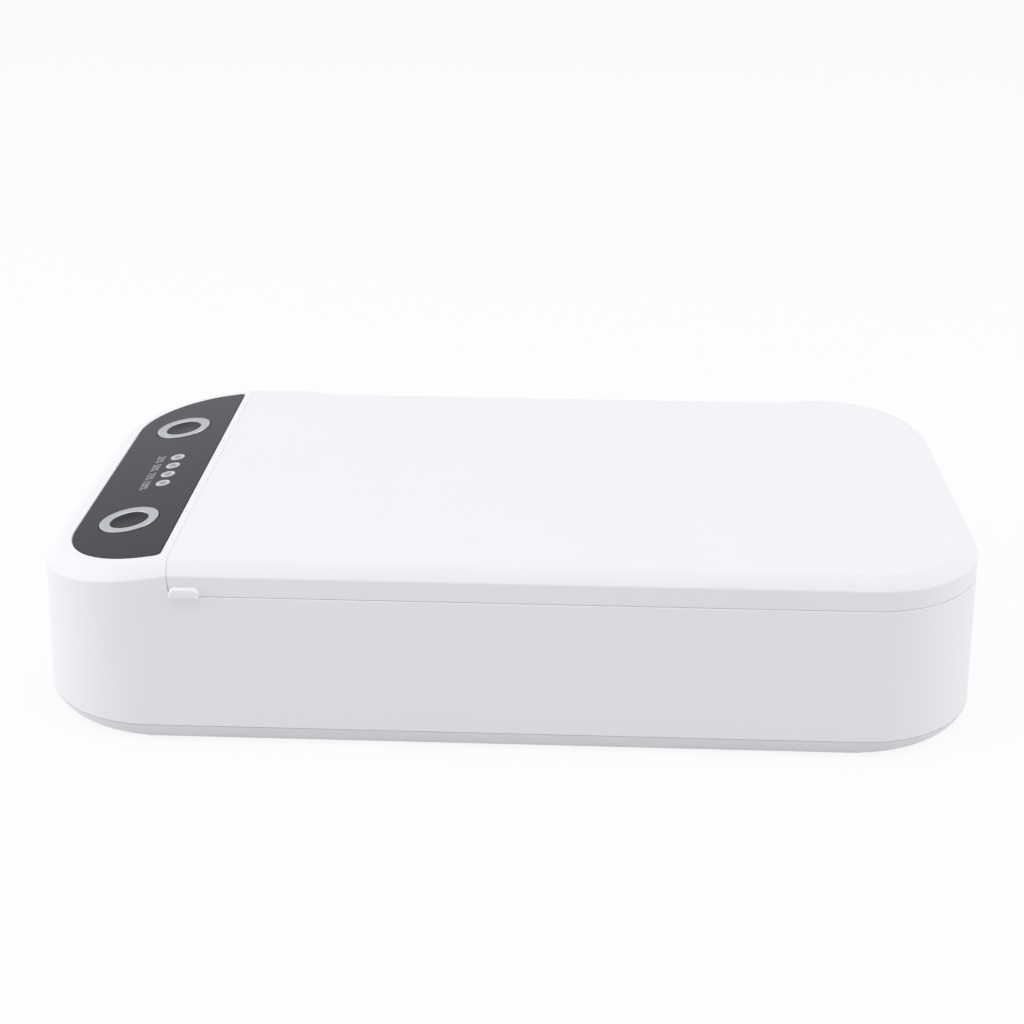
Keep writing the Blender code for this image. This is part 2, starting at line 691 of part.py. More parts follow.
def button(head, name, side):
    """One push button: a silver key round a dark inlay, over the plunger of its switch."""
    spot = Vector((PANEL_U, side * BUTTON_SPACING / 2, 0))
    under = -PANEL_THICKNESS - CLEARANCE
    stem_end = plunger_top() + CLEARANCE
    stack = [
        (BUTTON_STEM_RADIUS, stem_end),
        (BUTTON_STEM_RADIUS, under - BUTTON_FLANGE_HEIGHT),
        (BUTTON_RADIUS + BUTTON_FLANGE_WIDTH, under - BUTTON_FLANGE_HEIGHT),
        (BUTTON_RADIUS + BUTTON_FLANGE_WIDTH, under),
        (BUTTON_RADIUS, under),
        (BUTTON_RADIUS, BUTTON_PROUD - BUTTON_BEVEL),
        (BUTTON_RADIUS - BUTTON_BEVEL, BUTTON_PROUD),
    ]
    key = loft([level(circle(r, FINE_STEPS), z) for r, z in stack])
    key = piece(f"{name}_button_key", key, "silver_satin", parent=head)
    key.location = spot
    seat = prism(circle(INLAY_RADIUS + INLAY_GAP, FINE_STEPS), BUTTON_PROUD - INLAY_THICKNESS - INLAY_GAP, OVERRUN)
    seat_tool = tool(f"cut_{name}_inlay_seat", seat, head)
    seat_tool.location = spot
    cut(key, seat_tool)
    inlay = prism(circle(INLAY_RADIUS, FINE_STEPS), BUTTON_PROUD - INLAY_THICKNESS, BUTTON_PROUD)
    inlay = piece(f"{name}_button_inlay", inlay, "black_gloss", parent=head)
    inlay.location = spot

    switch_top = SWITCH_HEIGHT + CLEARANCE - BOARD_DEPTH
    case = prism(centred_rect(SWITCH_SIZE, SWITCH_SIZE, CLEARANCE), CLEARANCE - BOARD_DEPTH, switch_top)
    case = piece(f"{name}_switch_body", case, "chip_black", parent=head)
    case.location = spot
    well_floor = switch_top - PLUNGER_DEPTH - BUTTON_TRAVEL - CLEARANCE
    well = prism(circle(PLUNGER_RADIUS + CLEARANCE), well_floor, switch_top + OVERRUN)
    well_tool = tool(f"cut_{name}_switch_well", well, head)
    well_tool.location = spot
    cut(case, well_tool)
    plunger = prism(circle(PLUNGER_RADIUS), switch_top - PLUNGER_DEPTH, plunger_top())
    plunger = piece(f"{name}_switch_plunger", plunger, "lead_white", parent=head)
    plunger.location = spot


def plunger_top():
    """Height of a switch plunger's top in the head's frame."""
    return CLEARANCE - BOARD_DEPTH + SWITCH_HEIGHT + PLUNGER_PROUD


def control_board(head):
    """The board under the panel, with its two screws."""
    outline = centred_rect(BOARD_WIDTH, BOARD_LENGTH, OVERLAP, middle=(PANEL_U, 0))
    board = prism(outline, -BOARD_DEPTH - BOARD_THICKNESS, -BOARD_DEPTH)
    board = piece("control_board", board, "board_green", parent=head)
    for i, y in enumerate(board_screw_spots(), 1):
        spot = (PANEL_U, y)
        hole = circle(BOARD_SCREW_RADIUS + CLEARANCE, middle=spot)
        under = -BOARD_DEPTH - BOARD_THICKNESS
        cut(board, tool(f"cut_board_hole_{i}", prism(hole, under - OVERRUN, OVERRUN - BOARD_DEPTH), head))
        low = under - CLEARANCE - BOARD_SCREW_HEAD_HEIGHT
        length = BOARD_SCREW_HEAD_HEIGHT + CLEARANCE + BOARD_THICKNESS + BOARD_SCREW_BITE
        screw(
            f"board_screw_{i}",
            spot,
            low,
            1,
            BOARD_SCREW_HEAD_RADIUS,
            BOARD_SCREW_HEAD_HEIGHT,
            length,
            parent=head,
        )


def driver_posts():
    """Places of the driver board's two posts, along the head."""
    reach = DRIVER_LENGTH / 2 - BOARD_POST_END_MARGIN
    return [-reach, reach]


def driver_board():
    """The lamp driver at the bottom of the head, with its transformer, capacitor and socket."""
    outline = centred_rect(DRIVER_WIDTH, DRIVER_LENGTH, OVERLAP, middle=(DRIVER_X, 0))
    board = piece("driver_board", prism(outline, DRIVER_Z, DRIVER_TOP_Z), "board_green")
    for i, y in enumerate(driver_posts(), 1):
        spot = (DRIVER_X, y)
        hole = circle(BOARD_SCREW_RADIUS + CLEARANCE, middle=spot)
        cut(board, tool(f"cut_driver_hole_{i}", prism(hole, DRIVER_Z - OVERRUN, DRIVER_TOP_Z + OVERRUN)))
        high = DRIVER_TOP_Z + CLEARANCE + BOARD_SCREW_HEAD_HEIGHT
        length = BOARD_SCREW_HEAD_HEIGHT + CLEARANCE + BOARD_THICKNESS + BOARD_SCREW_BITE
        screw(f"driver_screw_{i}", spot, high, -1, BOARD_SCREW_HEAD_RADIUS, BOARD_SCREW_HEAD_HEIGHT, length)
    stand = DRIVER_TOP_Z + CLEARANCE
    reach = SOCKET_WIDTH / 2 + TRANSFORMER_WIDTH / 2 + OVERRUN
    block = centred_rect(TRANSFORMER_LENGTH, TRANSFORMER_WIDTH, TRANSFORMER_CORNER, middle=(DRIVER_X, -reach))
    piece("driver_transformer", prism(block, stand, stand + TRANSFORMER_HEIGHT), "copper_tape")
    reach = SOCKET_WIDTH / 2 + CAPACITOR_RADIUS + OVERRUN
    can = circle(CAPACITOR_RADIUS, middle=(DRIVER_X, reach))
    piece("driver_capacitor", prism(can, stand, stand + CAPACITOR_HEIGHT), "chip_black")

    mouth = draft_at(SOCKET_Z) - HALF_LENGTH
    outer = centred_rect(SOCKET_WIDTH, SOCKET_HEIGHT, SOCKET_CORNER)
    inner = centred_rect(
        SOCKET_WIDTH - 2 * SOCKET_SHELL, SOCKET_HEIGHT - 2 * SOCKET_SHELL, SOCKET_CORNER - SOCKET_SHELL
    )
    back = mouth + SOCKET_LENGTH
    socket = piece("power_socket", loft([socket_ring(outer, mouth), socket_ring(outer, back)]), "screw_steel")
    hollow = loft([socket_ring(inner, mouth - OVERRUN), socket_ring(inner, back - TONGUE_SETBACK)])
    tongue = centred_rect(TONGUE_WIDTH, TONGUE_THICKNESS, 0)
    tongue = loft([socket_ring(tongue, mouth + TONGUE_SETBACK), socket_ring(tongue, back - CLEARANCE)])
    cut(socket, tool("cut_socket_hollow", hollow))
    join(socket, tool("join_socket_tongue", tongue))


def bent(points, radius):
    """A route whose inner corners are rounded off."""
    knots = [Vector(point) for point in points]
    route = [knots[0]]
    for before, corner, after in zip(knots, knots[1:], knots[2:]):
        start = corner + (before - corner).normalized() * radius
        end = corner + (after - corner).normalized() * radius
        for i in range(BEND_STEPS + 1):
            t = i / BEND_STEPS
            route.append(start.lerp(corner, t).lerp(corner.lerp(end, t), t))
    return route + [knots[-1]]


def lead(name, points, radius):
    """An insulated lead along a route, as a round tube."""
    route = bent(points, LEAD_BEND * radius)
    curve = bpy.data.curves.new(name, "CURVE")
    curve.dimensions = "3D"
    curve.bevel_depth = radius
    curve.bevel_resolution = LEAD_RESOLUTION
    curve.use_fill_caps = True
    spline = curve.splines.new("POLY")
    spline.points.add(len(route) - 1)
    for knot, point in zip(spline.points, route):
        knot.co = (*point, 1)
    curve.materials.append(material("lead_white"))
    made = bpy.data.objects.new(name, curve)
    bpy.context.scene.collection.objects.link(made)


def lamp_leads():
    """The two leads from the driver board to the lamp's holders, on the bottom cover."""
    run_z = (PLATE_Z + TROUGH_FLOOR_Z - BOWL_WALL) / 2
    start_x = DRIVER_X + DRIVER_WIDTH / 2 - LEAD_ENTRY
    for name, x, y in lead_ends():
        points = [(start_x, y, DRIVER_Z - CLEARANCE), (start_x, y, run_z), (x, y, run_z), (x, y, TROUGH_FLOOR_Z)]
        lead(f"{name}_lamp_lead", points, LEAD_RADIUS)


def lead_ends():
    """Where each lamp lead comes up through the trough's floor."""
    reach = LAMP_CAP_LENGTH / 2
    return [("near", TROUGH_LEFT + reach, LEAD_ENTRY), ("far", TROUGH_RIGHT - reach, -LEAD_ENTRY)]


def harness():
    """The cable from the driver board up to the control board, inside the head."""
    y = driver_posts()[0] - BOARD_POST_END_MARGIN / 2
    x = DRIVER_X + DRIVER_WIDTH / 2 - LEAD_ENTRY
    low = DRIVER_TOP_Z + CLEARANCE
    tilt = math.atan(HEAD_SLOPE)
    under = (BOARD_DEPTH + BOARD_THICKNESS + CLEARANCE) / math.cos(tilt)
    high = TOP_Z - slope_drop(x - HARNESS_RADIUS) - under
    lead("board_harness", [(x, y, low), (x, y, high)], HARNESS_RADIUS)


def chamber_liner():
    """The bright tray that the phone lies in, with the lower lamp's trough and the aroma well."""
    left = HEAD_X + 2 * CLEARANCE
    inset = SEAM_INSET + RIM_WALL + CLEARANCE
    low = FLANGE_TOP_Z - FLANGE_THICKNESS
    flange = prism(chamber_outline(left, inset), low, FLANGE_TOP_Z)
    liner = piece("chamber_liner", flange, "mirror_liner")
    outer = [bowl_ring(BOWL_WALL, BOWL_FLOOR_Z - BOWL_WALL, 1), bowl_ring(BOWL_WALL, low + OVERLAP, 0)]
    inner = [bowl_ring(0, BOWL_FLOOR_Z, 1), bowl_ring(0, FLANGE_TOP_Z + OVERRUN, 0)]
    trough_low = TROUGH_FLOOR_Z - BOWL_WALL
    trough_out = prism(trough_outline(BOWL_WALL), trough_low, BOWL_FLOOR_Z - OVERLAP)
    trough_in = prism(trough_outline(0), TROUGH_FLOOR_Z, BOWL_FLOOR_Z + OVERLAP)
    spot = aroma_spot()
    well_out = circle(AROMA_RADIUS + CLEARANCE + BOWL_WALL, ROUND_STEPS, spot)
    well_in = circle(AROMA_RADIUS + CLEARANCE, ROUND_STEPS, spot)
    well_floor = BOWL_FLOOR_Z - AROMA_DEPTH
    join(
        liner,
        tool("join_bowl", loft(outer)),
        tool("join_trough", trough_out),
        tool("join_aroma_well", prism(well_out, well_floor - BOWL_WALL, BOWL_FLOOR_Z - OVERLAP)),
    )
    cut(
        liner,
        tool("cut_bowl", loft(inner)),
        tool("cut_trough", trough_in),
        tool("cut_aroma_well", prism(well_in, well_floor, BOWL_FLOOR_Z + OVERLAP)),
    )
    for i, x in enumerate(rib_places(), 1):
        for name, side in (("front", -1), ("rear", 1)):
            y = side * (TROUGH_WIDTH / 2 + WINDOW_LAP + OVERRUN + REST_RIB_LENGTH / 2)
            rib = centred_rect(REST_RIB_WIDTH, REST_RIB_LENGTH, REST_RIB_WIDTH / 2, SMALL_STEPS, (x, y))
            rib = prism(rib, BOWL_FLOOR_Z - OVERLAP, BOWL_FLOOR_Z + REST_RIB_HEIGHT)
            join(liner, tool(f"join_{name}_rib_{i}", rib))
    for name, x, y in lead_ends():
        hole = circle(LEAD_RADIUS + CLEARANCE, middle=(x, y))
        hole = prism(hole, trough_low - OVERRUN, TROUGH_FLOOR_Z + OVERLAP)
        cut(liner, tool(f"cut_{name}_lead_hole", hole))


def bowl_ring(grow, z, at_floor):
    """The bowl's outline, grown by its wall, at its rim or drawn in at its floor."""
    inset = BOWL_DRAFT * at_floor - grow
    left, right, half = BOWL_LEFT + inset, BOWL_RIGHT - inset, BOWL_HALF_DEPTH - inset
    radius = BOWL_CORNER - inset
    return level(round_rect(left, right, -half, half, radius, radius, SMALL_STEPS * 2), z)


def trough_outline(grow):
    """The lower lamp trough's outline, grown by its wall."""
    left, right = TROUGH_LEFT - grow, TROUGH_RIGHT + grow
    half = TROUGH_WIDTH / 2 + grow
    return round_rect(left, right, -half, half, TROUGH_CORNER + grow, TROUGH_CORNER + grow, SMALL_STEPS)


def rib_places():
    """Where the phone's rest ribs stand along the chamber."""
    first = aroma_spot()[0] + AROMA_RADIUS + BOWL_WALL + AROMA_MARGIN
    last = BOWL_RIGHT - BOWL_DRAFT - BOWL_CORNER
    return [first + (last - first) * i / (REST_RIB_COUNT - 1) for i in range(REST_RIB_COUNT)]


def aroma_spot():
    """Middle of the aroma well, in the chamber's front left corner."""
    reach = BOWL_DRAFT + AROMA_MARGIN + AROMA_RADIUS
    return (BOWL_LEFT + reach, reach - BOWL_HALF_DEPTH)


def lamp():
    """The tube lamp in the chamber's floor, held at each end by a block, its window and the aroma pad."""
    left, right = TROUGH_LEFT + CLEARANCE, TROUGH_RIGHT - CLEARANCE
    floor = TROUGH_FLOOR_Z + CLEARANCE
    z = floor + LAMP_CAP_HEIGHT / 2
    tube_left, tube_right = left + LAMP_CAP_LENGTH - LAMP_CAP_GRIP, right - LAMP_CAP_LENGTH + LAMP_CAP_GRIP
    piece("lamp_tube", bar(LAMP_RADIUS, tube_left, tube_right, 0, z), "lamp_glass")
    for side, x in (("near", left + LAMP_CAP_LENGTH / 2), ("far", right - LAMP_CAP_LENGTH / 2)):
        block = centred_rect(LAMP_CAP_LENGTH, LAMP_CAP_WIDTH, LAMP_CAP_CORNER, middle=(x, 0))
        cap = piece(f"{side}_lamp_holder", prism(block, floor, floor + LAMP_CAP_HEIGHT), "white_satin")
        hole = bar(LAMP_RADIUS + CLEARANCE, tube_left - CLEARANCE, tube_right + CLEARANCE, 0, z)
        cut(cap, tool(f"cut_{side}_holder", hole))
    lap = trough_outline(WINDOW_LAP)
    low = BOWL_FLOOR_Z + CLEARANCE
    piece("lamp_window", prism(lap, low, low + WINDOW_PLATE), "clear_window")
    low = BOWL_FLOOR_Z - AROMA_DEPTH + CLEARANCE
    pad = prism(circle(AROMA_RADIUS, middle=aroma_spot()), low, BOWL_FLOOR_Z + CLEARANCE)
    piece("aroma_pad", pad, "felt_grey")


def lid_shell(pivot):
    """The lid: shoulder and skirt, finger tab, hinge knuckles and screw posts, in one moulding."""
    foot = SEAM_Z + LID_GAP
    rings = [(draft_at(foot), foot)] + shoulder_rings()
    block = loft([level(notched(body_outline(inset), inset), z) for inset, z in rings])
    shell = piece("lid_shell", block, "white_gloss", pivot)
    wide = HALF_DEPTH + OVERRUN
    outside = box(-HALF_LENGTH - OVERRUN, LID_X, -wide, wide, 0, TOP_Z + OVERRUN)
    roof = TOP_Z - LID_WALL
    inset = LID_WALL + WALL_DRAFT
    inside = prism(chamber_outline(LID_X + LID_WALL, inset, notch=True), foot - OVERRUN, roof)
    cut(shell, tool("cut_lid_end", outside), tool("cut_lid_inside", inside))

    front = -HALF_DEPTH + SEAM_INSET
    tip = -(HINGE_Y + HINGE_RADIUS)
    left = LID_X + TAB_MARGIN
    low = SEAM_Z + LID_GAP + TAB_LIFT
    rear = front + LID_WALL / 2
    plan = round_rect(left, left + TAB_WIDTH, tip, rear, TAB_SIDE, TAB_CORNER, SMALL_STEPS)
    crown = round_rect(
        left + TAB_EDGE,
        left + TAB_WIDTH - TAB_EDGE,
        tip + TAB_EDGE,
        rear,
        TAB_SIDE - TAB_EDGE,
        TAB_CORNER - TAB_EDGE,
        SMALL_STEPS,
    )
    tab = loft([level(plan, low), level(plan, low + TAB_HEIGHT - TAB_EDGE), level(crown, low + TAB_HEIGHT)])
    join(shell, tool("join_finger_tab", tab))

    for i, (x, y) in enumerate(lid_screw_spots(), 1):
        post = prism(circle(LID_POST_RADIUS, middle=(x, y)), LINER_Z + LINER_THICKNESS + CLEARANCE, roof + OVERLAP)
        drill = circle(BOARD_SCREW_RADIUS + LENS_HOLE_GAP, middle=(x, y))
        join(shell, tool(f"join_lid_post_{i}", post))
        cut(shell, tool(f"cut_lid_post_{i}", prism(drill, foot, LINER_Z + LINER_THICKNESS + LID_SCREW_BITE)))

    for i, x in enumerate(hinge_middles(), 1):
        for name, side in (("left", -1), ("right", 1)):
            near = x + side * (HINGE_BASE_KNUCKLE / 2 + CLEARANCE)
            far = near + side * HINGE_LID_KNUCKLE
            low, high = sorted((near, far))
            barrel = bar(HINGE_RADIUS, low, high, HINGE_Y, HINGE_Z)
            wall = REAR_WALL_Y - NOTCH_DEPTH - LID_WALL / 2
            arm_low = HINGE_Z - HINGE_ARM_HEIGHT / 2
            arm = box(low, high, wall, HINGE_Y, arm_low, arm_low + HINGE_ARM_HEIGHT)
            hole = bar(PIN_RADIUS + PIN_GAP, low - CLEARANCE, high + CLEARANCE, HINGE_Y, HINGE_Z)
            join(shell, tool(f"join_lid_arm_{i}_{name}", arm), tool(f"join_lid_barrel_{i}_{name}", barrel))
            cut(shell, tool(f"cut_lid_pin_{i}_{name}", hole))


def lid_screw_spots():
    """Places of the four screws that hold the lid's liner."""
    xs = (BOWL_LEFT + LID_SCREW_INSET_X, BOWL_RIGHT - LID_SCREW_INSET_X)
    y = BOWL_HALF_DEPTH - LID_SCREW_INSET_Y
    return [(x, side * y) for x in xs for side in (-1, 1)]


def lid_liner(pivot):
    """The bright plate inside the lid, with its screws and the magnet."""
    inset = LID_WALL + WALL_DRAFT + CLEARANCE
    low, high = LINER_Z, LINER_Z + LINER_THICKNESS
    plan = chamber_outline(LID_X + LID_WALL + CLEARANCE, inset, notch=True)
    liner = piece("lid_liner", prism(plan, low, high), "mirror_liner", pivot)
    for i, (x, y) in enumerate(lid_screw_spots(), 1):
        hole = prism(circle(BOARD_SCREW_RADIUS + CLEARANCE, middle=(x, y)), low - OVERRUN, high + OVERRUN)
        cut(liner, tool(f"cut_liner_hole_{i}", hole))
        head = low - CLEARANCE - BOARD_SCREW_HEAD_HEIGHT
        length = BOARD_SCREW_HEAD_HEIGHT + LINER_THICKNESS + LID_SCREW_BITE
        screw(
            f"lid_screw_{i}",
            (x, y),
            head,
            1,
            BOARD_SCREW_HEAD_RADIUS,
            BOARD_SCREW_HEAD_HEIGHT,
            length,
            pivot=pivot,
        )
    x, y = magnet_spot()
    magnet = prism(circle(MAGNET_RADIUS, middle=(x, y)), high + CLEARANCE, high + CLEARANCE + MAGNET_HEIGHT)
    piece("lid_magnet", magnet, "magnet_nickel", pivot)


def magnet_spot():
    """Where the lid's magnet stands, over the reed switch in the base."""
    x = LID_X + LID_WALL + REED_LENGTH
    inset = LID_WALL + WALL_DRAFT + MAGNET_RADIUS + 2 * CLEARANCE
    return x, inset - HALF_DEPTH


def reed_switch():
    """The switch that puts the lamps out when the lid's magnet leaves it."""
    x = magnet_spot()[0]
    z = FLANGE_TOP_Z - FLANGE_THICKNESS - CLEARANCE - REED_RADIUS
    y = WALL + draft_at(z) + CLEARANCE + REED_RADIUS - HALF_DEPTH
    half = REED_LENGTH / 2
    piece("reed_switch", bar(REED_RADIUS, x - half, x + half, y, z), "lamp_glass")


def hinge_pins():
    """A steel pin through each hinge."""
    half = HINGE_BASE_KNUCKLE / 2 + CLEARANCE + HINGE_LID_KNUCKLE
    for name, x in zip(("left", "right"), hinge_middles()):
        pivot = (x, HINGE_Y, HINGE_Z)
        piece(f"{name}_hinge_pin", bar(PIN_RADIUS, x - half, x + half, HINGE_Y, HINGE_Z), "screw_steel", pivot)


def build():
    clear_scene()
    head = panel_frame()
    pivot = (0, HINGE_Y, HINGE_Z)
    base_shell(head)
    bottom_cover()
    feet_and_screws()
    control_panel(head)
    display(head)
    button(head, "front", -1)
    button(head, "rear", 1)
    control_board(head)
    driver_board()
    lamp_leads()
    harness()
    chamber_liner()
    lamp()
    reed_switch()
    hinge_pins()
    lid_shell(pivot)
    lid_liner(pivot)


build()
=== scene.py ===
"""The looks of a uv sanitizer box for phones, built as a Blender add-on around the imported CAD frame."""

import json
import math

import bmesh
import bpy
from mathutils import Matrix, Vector


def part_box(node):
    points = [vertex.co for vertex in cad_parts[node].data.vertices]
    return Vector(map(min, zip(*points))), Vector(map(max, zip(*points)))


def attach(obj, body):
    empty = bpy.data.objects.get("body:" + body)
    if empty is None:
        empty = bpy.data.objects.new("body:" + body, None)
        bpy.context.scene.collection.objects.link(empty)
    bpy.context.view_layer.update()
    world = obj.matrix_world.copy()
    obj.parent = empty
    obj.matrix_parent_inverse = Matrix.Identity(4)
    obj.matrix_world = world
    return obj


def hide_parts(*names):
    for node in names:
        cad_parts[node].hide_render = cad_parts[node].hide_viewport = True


bl_info = {
    "name": "Sanitizer Box",
    "version": (1, 0, 0),
    "blender": (4, 5, 0),
    "location": "View3D > Sidebar > Sanitizer",
    "description": "Builds a lidded sanitizer box with a control head, and the studio round it",
    "category": "Object",
}

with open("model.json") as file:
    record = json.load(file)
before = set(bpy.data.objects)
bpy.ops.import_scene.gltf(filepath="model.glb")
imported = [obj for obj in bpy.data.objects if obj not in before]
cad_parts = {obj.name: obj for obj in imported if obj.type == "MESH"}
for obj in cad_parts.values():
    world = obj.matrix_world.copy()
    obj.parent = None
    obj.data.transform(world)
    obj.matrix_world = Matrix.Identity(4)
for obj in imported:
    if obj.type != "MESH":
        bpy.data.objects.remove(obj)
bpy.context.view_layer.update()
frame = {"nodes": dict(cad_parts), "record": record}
LID_LOW, LID_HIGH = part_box("lid_shell")
PIN_LOW, PIN_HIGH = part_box("left_hinge_pin")
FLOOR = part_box("bottom_cover")[0].z
TINY = 1e-6
SHARP_ANGLE = 32


# settings
def measure(name, description, default):
    """A length that a user may change."""
    return bpy.props.FloatProperty(name=name, description=description, default=default, unit="LENGTH")


def tilt(name, description, degrees):
    """An angle that a user may change."""
    return bpy.props.FloatProperty(name=name, description=description, default=math.radians(degrees), subtype="ANGLE")


def tint(name, description, default):
    """A colour that a user may change."""
    return bpy.props.FloatVectorProperty(name=name, description=description, default=default, size=3, subtype="COLOR")


class CaseSizes(bpy.types.PropertyGroup):
    """Sizes of the box's outside."""

    length: measure("Length", "Body length", 0.215)
    depth: measure("Depth", "Body depth", 0.119)
    height: measure("Height", "Body height without its feet", LID_HIGH.z - FLOOR)
    corner: measure("Corner", "Corner radius", 0.028)
    draft: measure("Draft", "Wall lean over the height", 0.0015)
    shoulder_width: measure("Shoulder width", "Sloping shoulder, across", 0.0034)
    shoulder_drop: measure("Shoulder drop", "Sloping shoulder, down", 0.0031)
    shoulder_bow: tilt("Shoulder bow", "How far the shoulder bows", 10)
    seam: measure("Seam", "Height of the lid's seam", 0.0346)
    head_x: measure("Head end", "Where the lid begins", -0.0733)
    slope: bpy.props.FloatProperty(name="Slope", description="Fall of the head's top", default=0.16)
    crease: measure("Crease", "Top of the bottom cover", 0.00305)
    foot_round: measure("Foot round", "Added to the corner radius at the cover's foot", 0.0031)
    edge: measure("Edge", "Round on the lid's hem", 0.00012)
    end_edge: measure("End edge", "Round on the ends that meet at the head", 0.00006)
    rim_edge: measure("Rim edge", "Round on the base's rim", 0.0003)
    gap: measure("Gap", "Gap in a seam", 0.00006)
    end_gap: measure("End gap", "Gap between head and lid", 0.00003)
    end_lean: measure("End lean", "How far the lid's left end leans in from top to hem", 0.0006)
    end_spread: measure("End spread", "How much the gap at the head widens to the hem", 0.00012)
    recess: measure("Recess", "How far the lid's hem stands back from the base's rim", 0.00018)


class PanelSizes(bpy.types.PropertyGroup):
    """Sizes of the control panel and what it carries."""

    width: measure("Width", "Panel width", 0.0247)
    length: measure("Length", "Panel length", 0.1055)
    margin: measure("Margin", "From the lid's seam", 0.0022)
    corner: measure("Corner", "Large corner radius", 0.0207)
    small_corner: measure("Small corner", "Small corner radius", 0.0012)
    thickness: measure("Thickness", "Panel thickness", 0.002)
    spacing: measure("Spacing", "Between the buttons", 0.0602)
    button: measure("Button", "Button radius", 0.007)
    inlay: measure("Inlay", "Inlay radius", 0.0044)
    lens: measure("Lens", "Lens radius", 0.0018)
    lens_pitch: measure("Lens pitch", "Between the lenses", 0.00567)
    lens_offset: measure("Lens offset", "Lenses from the middle", 0.0031)
    gap: measure("Gap", "Gap round the panel", 0.00006)
    lip: measure("Lip", "Chamfer round the recess", 0.0002)
    label: measure("Label", "Height of the numbers", 0.0028)


class FinishColours(bpy.types.PropertyGroup):
    """Colours of the finishes."""

    white: tint("White", "Glossy shells", (0.846, 0.842, 0.885))
    black: tint("Black", "Glossy panel", (0.004, 0.005, 0.0145))
    silver: tint("Silver", "Button keys", (0.48, 0.49, 0.535))
    lens: tint("Lens", "Level lights", (0.55, 0.56, 0.62))
    label: tint("Label", "Numbers by the lights", (0.34, 0.345, 0.37))


class StudioSettings(bpy.types.PropertyGroup):
    """Camera and lights."""

    eye: bpy.props.FloatVectorProperty(
        name="Eye", description="Camera place", subtype="TRANSLATION", size=3, default=(0.0149, -0.40043, 0.2049)
    )
    pitch: tilt("Pitch", "Camera tilt down", 23.39)
    yaw: tilt("Yaw", "Camera turn", -2.18)
    roll: tilt("Roll", "Camera roll", 0.32)
    lens: bpy.props.FloatProperty(name="Lens", description="Focal length in millimetres", default=62.15)
    shift: bpy.props.FloatProperty(name="Shift", description="Vertical lens shift", default=0.00215)
    ambient: bpy.props.FloatProperty(name="Ambient", description="Sky light on the object", default=0.5)
    glow: bpy.props.FloatProperty(name="Glow", description="How white the floor looks, 0 to 1", default=0.9)


# shader sums
class Signal:
    """A node's output that can stand in a sum."""

    def __init__(self, finish, output):
        self.finish, self.output = finish, output

    def sum(self, operation, *values):
        return self.finish.node("ShaderNodeMath", {"operation": operation}, dict(enumerate(values)))

    def __add__(self, other):
        return self.sum("ADD", self, other)

    def __radd__(self, other):
        return self.sum("ADD", other, self)

    def __sub__(self, other):
        return self.sum("SUBTRACT", self, other)

    def __rsub__(self, other):
        return self.sum("SUBTRACT", other, self)

    def __mul__(self, other):
        return self.sum("MULTIPLY", self, other)

    def __rmul__(self, other):
        return self.sum("MULTIPLY", other, self)


class Finish:
    """A procedural material in the making, or the sky."""

    def __init__(self, name, owner=None, shader="Principled BSDF"):
        self.material = owner or bpy.data.materials.new(name)
        self.material.use_nodes = True
        self.tree = self.material.node_tree
        self.shader = self.tree.nodes[shader]

    def put(self, socket, value):
        """Links a signal to a socket, or sets its value."""
        if isinstance(value, Signal):
            self.tree.links.new(value.output, socket)
        elif isinstance(value, (tuple, list)) and socket.type == "RGBA" and len(value) == 3:
            socket.default_value = (*value, 1)
        else:
            socket.default_value = value

    def node(self, kind, settings=None, values=None, out=0):
        """Any node: its settings first, then the values or signals of its sockets."""
        made = self.tree.nodes.new(kind)
        for key, value in (settings or {}).items():
            if key == "stops":
                ramp = made.color_ramp.elements
                while len(ramp) < len(value):
                    ramp.new(1)
                for element, (place, grey) in zip(ramp, value):
                    element.position = place
                    element.color = (grey, grey, grey, 1)
            else:
                setattr(made, key, value)
        for key, value in (values or {}).items():
            self.put(made.inputs[key], value)
        return Signal(self, made.outputs[out])

    def place(self):
        """Object coordinates."""
        return self.node("ShaderNodeTexCoord", out="Object")

    def noise(self, scale, detail=2, rough=0.5):
        """A cloud of values from 0 to 1 over the piece."""
        values = {"Vector": self.place(), "Scale": scale, "Detail": detail, "Roughness": rough}
        return self.node("ShaderNodeTexNoise", values=values)

    def seen(self):
        """1 for what the camera sees, also in gloss and through glass, and 0 for light on the object."""
        rays = [self.node("ShaderNodeLightPath", out=f"Is {kind} Ray") for kind in ("Camera", "Glossy", "Transmission")]
        return self.node("ShaderNodeMath", {"operation": "MINIMUM"}, {0: rays[0] + rays[1] + rays[2], 1: 1.0})

    def ramp(self, signal, *stops):
        """A signal read through grey stops."""
        return self.node("ShaderNodeValToRGB", {"stops": stops}, {"Fac": signal})

    def mix(self, factor, first, second):
        """A colour between two."""
        return self.node("ShaderNodeMix", {"data_type": "RGBA"}, {0: factor, 6: first, 7: second}, out=2)

    def bump(self, height, strength, distance):
        """Fine relief on the surface."""
        values = {"Height": height, "Strength": strength, "Distance": distance}
        self.put(self.shader.inputs["Normal"], self.node("ShaderNodeBump", values=values))

    def set(self, **sockets):
        """Sets the shader's sockets, spaces written as underscores."""
        for key, value in sockets.items():
            self.put(self.shader.inputs[key.replace("_", " ")], value)


def shade(colour, factor):
    """A colour made darker or lighter."""
    return tuple(min(1, part * factor) for part in colour)


def moulded_plastic(name, colour, roughness, ripple=0.02, specular=0.5):
    """Moulded plastic: slight flow marks in its gloss and a very fine orange peel."""
    finish = Finish(name)
    drift = finish.noise(38, 3)
    tone = finish.mix(drift, shade(colour, 0.99), shade(colour, 1.008))
    finish.set(Base_Color=tone, Roughness=roughness + (drift - 0.5) * 0.05, Specular_IOR_Level=specular)
    finish.bump(finish.noise(900, 1), ripple, 0.0004)
    return finish.material


